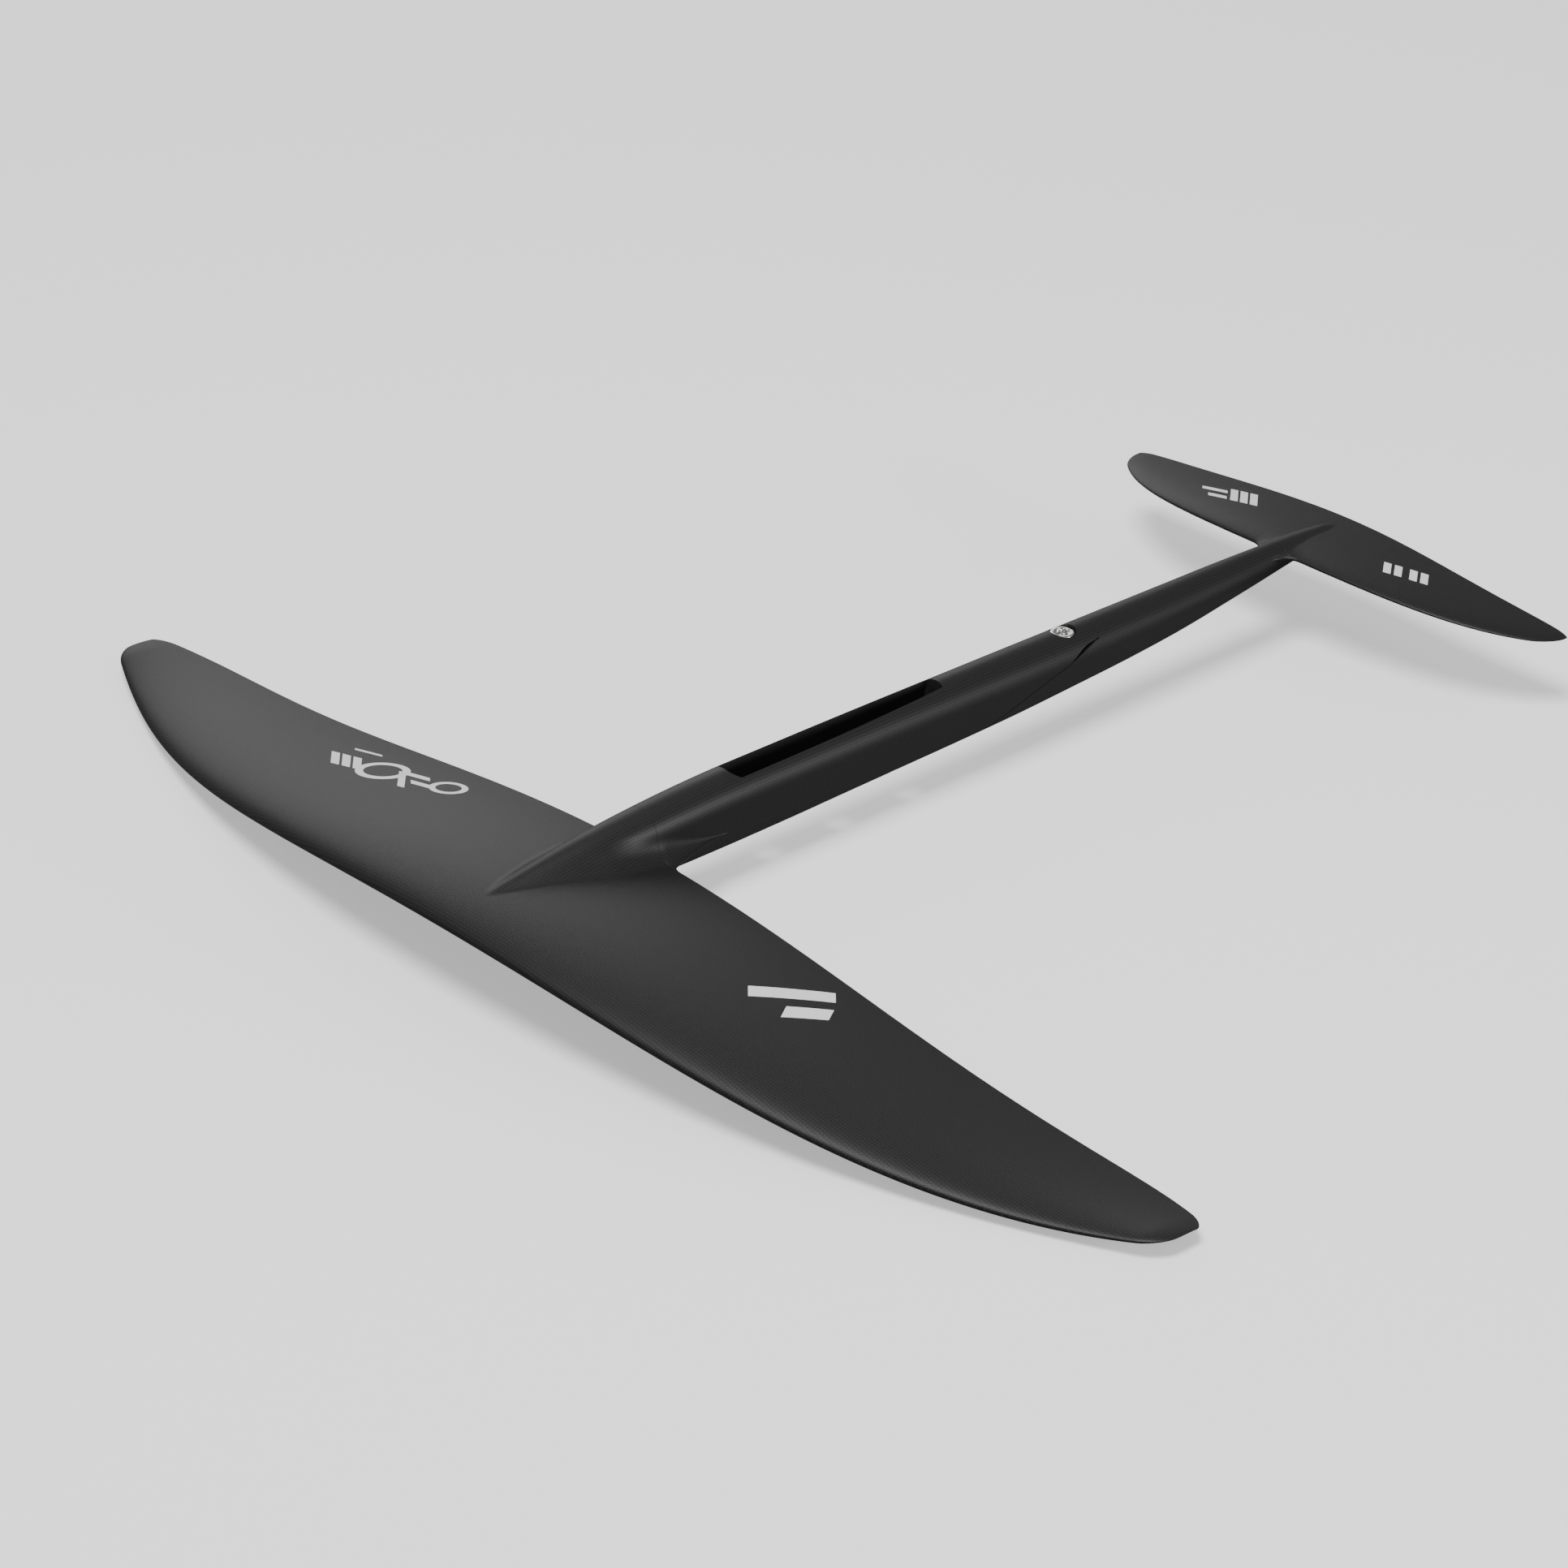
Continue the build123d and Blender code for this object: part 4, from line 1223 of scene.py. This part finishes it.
def carbon_cloth():
    """Satin moulded carbon cloth, laid by the skins' own cloth coordinates."""
    nodes = Nodes("carbon_cloth")
    cloth = nodes.add("ShaderNodeUVMap", uv_map="cloth")
    split = nodes.add("ShaderNodeSeparateXYZ")
    nodes.connect(cloth.outputs["UV"], split.inputs[0])
    add_weave(nodes, split.outputs["X"], split.outputs["Y"], 0.0015, 0.022, 0.00008)
    nodes.shader.inputs["Roughness"].default_value = 0.44
    nodes.shader.inputs["Specular IOR Level"].default_value = 0.32
    return nodes.material


def dark_cloth(name, dark, light):
    """Dark carbon cloth laid flat, for pieces without cloth coordinates."""
    nodes = Nodes(name)
    place = nodes.add("ShaderNodeTexCoord")
    split = nodes.add("ShaderNodeSeparateXYZ")
    nodes.connect(place.outputs["Object"], split.inputs[0])
    add_weave(nodes, split.outputs["X"], split.outputs["Y"], dark, light, 0.00004)
    nodes.shader.inputs["Roughness"].default_value = 0.55
    return nodes.material


def grained(name, colour, roughness, metallic, scale, spread_by):
    """Plain material with a fine grain in its roughness."""
    nodes = Nodes(name)
    place = nodes.add("ShaderNodeTexCoord")
    noise = nodes.add("ShaderNodeTexNoise")
    noise.inputs["Scale"].default_value = scale
    noise.inputs["Detail"].default_value = 3.0
    nodes.connect(place.outputs["Object"], noise.inputs["Vector"])
    rough = nodes.shade(noise.outputs["Fac"], max(0.0, roughness - spread_by), roughness + spread_by)
    nodes.connect(rough, nodes.shader.inputs["Roughness"])
    nodes.shader.inputs["Base Color"].default_value = (*colour, 1.0)
    nodes.shader.inputs["Metallic"].default_value = metallic
    return nodes.material


MATERIALS = {
    "carbon_skin": carbon_cloth(),
    "carbon_block": grained("chopped_carbon", (0.012, 0.012, 0.013), 0.5, 0.0, 400.0, 0.08),
    "carbon_spar": grained("pultruded_carbon", (0.016, 0.016, 0.017), 0.45, 0.0, 300.0, 0.08),
    "foam_core": grained("structural_foam", (0.62, 0.56, 0.4), 0.85, 0.0, 900.0, 0.08),
    "socket_liner": dark_cloth("socket_cloth", 0.004, 0.012),
    "stainless_steel": grained("turned_steel", (0.72, 0.72, 0.71), 0.24, 1.0, 700.0, 0.06),
    "white_print": grained("white_ink", (0.86, 0.86, 0.86), 0.5, 0.0, 500.0, 0.05),
}
EDGE_RESIN = grained("edge_resin", (0.02, 0.02, 0.021), 0.4, 0.0, 600.0, 0.05)


def settle(piece, body, slot, material=None):
    """Give a piece the material of its slot, or the one given, and the body it moves with."""
    piece.data.materials.clear()
    piece.data.materials.append(material or MATERIALS[slot])
    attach(piece, body)
    return piece


# --- Build the pieces -------------------------------------------------------------

SCREW_PLACES = ring_places(SCREW_AFT, COUNTERBORE, COUNTERBORE_STEPS)
BEFORE_SCREW = [2 * (SCREW_AFT - COUNTERBORE) - place for place in SCREW_PLACES
                if place < SCREW_AFT]
AFTER_SCREW = [2 * (SCREW_AFT + COUNTERBORE) - place for place in SCREW_PLACES
               if place > SCREW_AFT]
SOCKET_PLACES = merged(corner_places(SOCKET_START, 1), corner_places(SOCKET_START, -1),
                       corner_places(SOCKET_END, 1), corner_places(SOCKET_END, -1))
SLEEVE_PLACES = merged(*(ring_places(centre, SLEEVE_RADIUS, SLEEVE_STEPS) for centre in SLEEVES))
DECK_PLACES = merged(SOCKET_PLACES, BEFORE_SCREW, SCREW_PLACES, AFTER_SCREW)
FRONT_GRID = (FrontWing, ROOT_SPAN, FRONT_WING_STEP, TE_EASE)
TAIL_GRID = (TailWing, TAIL_ROOT_SPAN, TAIL_WING_STEP, LE_EASE)

front_upper = Skin(front_rows(SCARF_HIGH[0], DECK_PLACES), UPPER, upper_hole,
                   [(SOCKET_START, SOCKET_END), hole_ends(SCREW_AFT, COUNTERBORE)], *FRONT_GRID)
front_lower = Skin(front_rows(SCARF_LOW[0], SLEEVE_PLACES), LOWER, lower_hole,
                   [hole_ends(centre, SLEEVE_RADIUS) for centre in SLEEVES], *FRONT_GRID)
tail_upper = Skin(tail_rows(SCARF_HIGH[0] + CROWN_GAP), UPPER, no_hole, [], *TAIL_GRID)
tail_lower = Skin(tail_rows(SCARF_LOW[0] + SCARF_GAP), LOWER, no_hole, [], *TAIL_GRID)

SKINS = {
    "front_wing_upper_skin": (front_upper, "front_part"),
    "front_wing_lower_skin": (front_lower, "front_part"),
    "tail_upper_skin": (tail_upper, "tail_part"),
    "tail_lower_skin": (tail_lower, "tail_part"),
}
skin_pieces = {}
for node, (skin, body) in SKINS.items():
    piece = settle(skin_object("cloth_" + node, skin), body, "carbon_skin")
    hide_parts(node)
    skin_pieces[node] = piece
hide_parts("front_belly_skin")
share_normals(skin_pieces["front_wing_upper_skin"], skin_pieces["front_wing_lower_skin"])
share_normals(skin_pieces["tail_upper_skin"], skin_pieces["tail_lower_skin"])

fin_upper, fin_lower = fin_lines()
wing_upper, wing_lower = wing_edge_lines(FrontWing, ROOT_SPAN)
tail_edge = wing_edge_lines(TailWing, 0.0)
settle(strip_object("front_wing_edge", fin_upper + wing_upper, fin_lower + wing_lower),
       "front_part", "carbon_skin", EDGE_RESIN)
settle(strip_object("tail_wing_edge", *tail_edge), "tail_part", "carbon_skin", EDGE_RESIN)

LIPS = {
    "front_belly_lip": (row_line(front_lower, len(front_lower.rows) - 1), "front_part"),
    "front_scarf_lip": (side_line(front_upper, SCARF_LOW[0], SCARF_HIGH[0]), "front_part"),
    "front_crown_lip": (row_line(front_upper, len(front_upper.rows) - 1), "front_part"),
    "tail_belly_lip": (row_line(tail_lower, 0), "tail_part"),
    "tail_scarf_lip": (side_line(tail_lower, SCARF_LOW[0], SCARF_HIGH[0] + CROWN_GAP), "tail_part"),
    "tail_crown_lip": (row_line(tail_upper, 0), "tail_part"),
}
for name, ((line, inward), body) in LIPS.items():
    settle(lip_object(name, line, inward), body, "carbon_skin", EDGE_RESIN)

lining = settle(socket_lining(front_upper), "front_part", "socket_liner")
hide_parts("mast_socket_liner")
settle(counterbore_wall(front_upper), "front_part", "carbon_skin", EDGE_RESIN)
screw = settle(joint_screw(), "screw", "stainless_steel")
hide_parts("joint_screw")

for mark in (right_wing_print(), left_wing_print()):
    settle(mark, "front_part", "white_print")
for mark in (left_tail_print(), right_tail_print()):
    settle(mark, "tail_part", "white_print")

SLOT_NODES = {
    "carbon_block": ["front_core_nose", "front_core_floor", "front_core_wall_left",
                     "front_core_wall_right", "front_core_aft", "tail_fuselage_core"],
    "carbon_spar": ["front_wing_spar_cap_upper", "front_wing_spar_cap_lower",
                    "front_wing_spar_web", "front_wing_edge_bar_left",
                    "front_wing_edge_bar_right", "tail_spar"],
    "foam_core": ["front_wing_nose_core_left", "front_wing_nose_core_right",
                  "front_wing_aft_core_left", "front_wing_aft_core_right",
                  "tail_core_left", "tail_core_right"],
    "stainless_steel": ["mast_screw_sleeves", "joint_screw_seat", "tail_thread_insert",
                        "joint_washer"],
}
for slot, nodes in SLOT_NODES.items():
    for node in nodes:
        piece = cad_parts[node]
        piece.data.materials.clear()
        piece.data.materials.append(MATERIALS[slot])


# --- Floor, light and camera ------------------------------------------------------
# The floor and the air look white to the camera but throw little light on the object.

FLOOR_SIZE = 30.0
FLOOR_GAP = 0.002         # below the object
PAPER_LIT = 0.2           # the floor's grey for all rays but the camera's, and for those
PAPER_SEEN = 0.94
PAPER_GLOW = 0.52         # its own light, seen by the camera only
AIR_LIT = 0.22            # the air's light for all rays but the camera's, and for those
AIR_SEEN = 1.0


def area_light(name, place, target, size, energy):
    """Soft round light aimed at a point."""
    data = bpy.data.lights.new(name, "AREA")
    data.shape = "DISK"
    data.size = size
    data.energy = energy
    lamp = bpy.data.objects.new(name, data)
    lamp.location = place
    lamp.rotation_euler = (Vector(target) - Vector(place)).to_track_quat("-Z", "Y").to_euler()
    bpy.context.scene.collection.objects.link(lamp)


bpy.ops.mesh.primitive_plane_add(size=FLOOR_SIZE, location=(0.0, 0.0, CAD_BOX[0][2] - FLOOR_GAP))
floor = bpy.context.object
floor.name = "studio_floor"
paper = Nodes("studio_paper")
direct = paper.add("ShaderNodeLightPath")
paper.grey(paper.shade(direct.outputs["Is Camera Ray"], PAPER_LIT, PAPER_SEEN))
paper.shader.inputs["Roughness"].default_value = 0.9
paper.shader.inputs["Emission Color"].default_value = (1.0, 1.0, 1.0, 1.0)
paper.connect(paper.shade(direct.outputs["Is Camera Ray"], 0.0, PAPER_GLOW),
              paper.shader.inputs["Emission Strength"])
floor.data.materials.append(paper.material)

world = bpy.data.worlds.new("studio_air")
world.use_nodes = True
air = world.node_tree.nodes["Background"]
seen = world.node_tree.nodes.new("ShaderNodeLightPath")
level = world.node_tree.nodes.new("ShaderNodeMapRange")
level.inputs["To Min"].default_value = AIR_LIT
level.inputs["To Max"].default_value = AIR_SEEN
world.node_tree.links.new(seen.outputs["Is Camera Ray"], level.inputs["Value"])
world.node_tree.links.new(level.outputs["Result"], air.inputs["Strength"])
air.inputs["Color"].default_value = (1.0, 1.0, 1.0, 1.0)
bpy.context.scene.world = world
area_light("overhead", (0.3, -0.9, 3.2), (0.0, 0.2, 0.0), 1.6, 105.0)
area_light("far_left", (-3.0, 1.8, 1.5), (0.0, 0.1, 0.0), 2.4, 22.0)
area_light("right_side", (2.8, 0.9, 0.45), (0.0, 0.1, 0.0), 1.2, 55.0)

CAMERA_PLACE = (1.8140, -1.6662, 1.3112)
AZIMUTH = math.radians(48.02)
ELEVATION = math.radians(28.10)
SENSOR = 36.0             # millimetres, as the lens is
LENS = 120.6
lens = bpy.data.cameras.new("photo_camera")
lens.sensor_width = SENSOR
lens.lens = LENS
camera = bpy.data.objects.new("photo_camera", lens)
camera.location = CAMERA_PLACE
looking = Vector((-math.sin(AZIMUTH) * math.cos(ELEVATION),
                  math.cos(AZIMUTH) * math.cos(ELEVATION),
                  -math.sin(ELEVATION)))
camera.rotation_euler = looking.to_track_quat("-Z", "Y").to_euler()
bpy.context.scene.collection.objects.link(camera)
bpy.context.scene.camera = camera
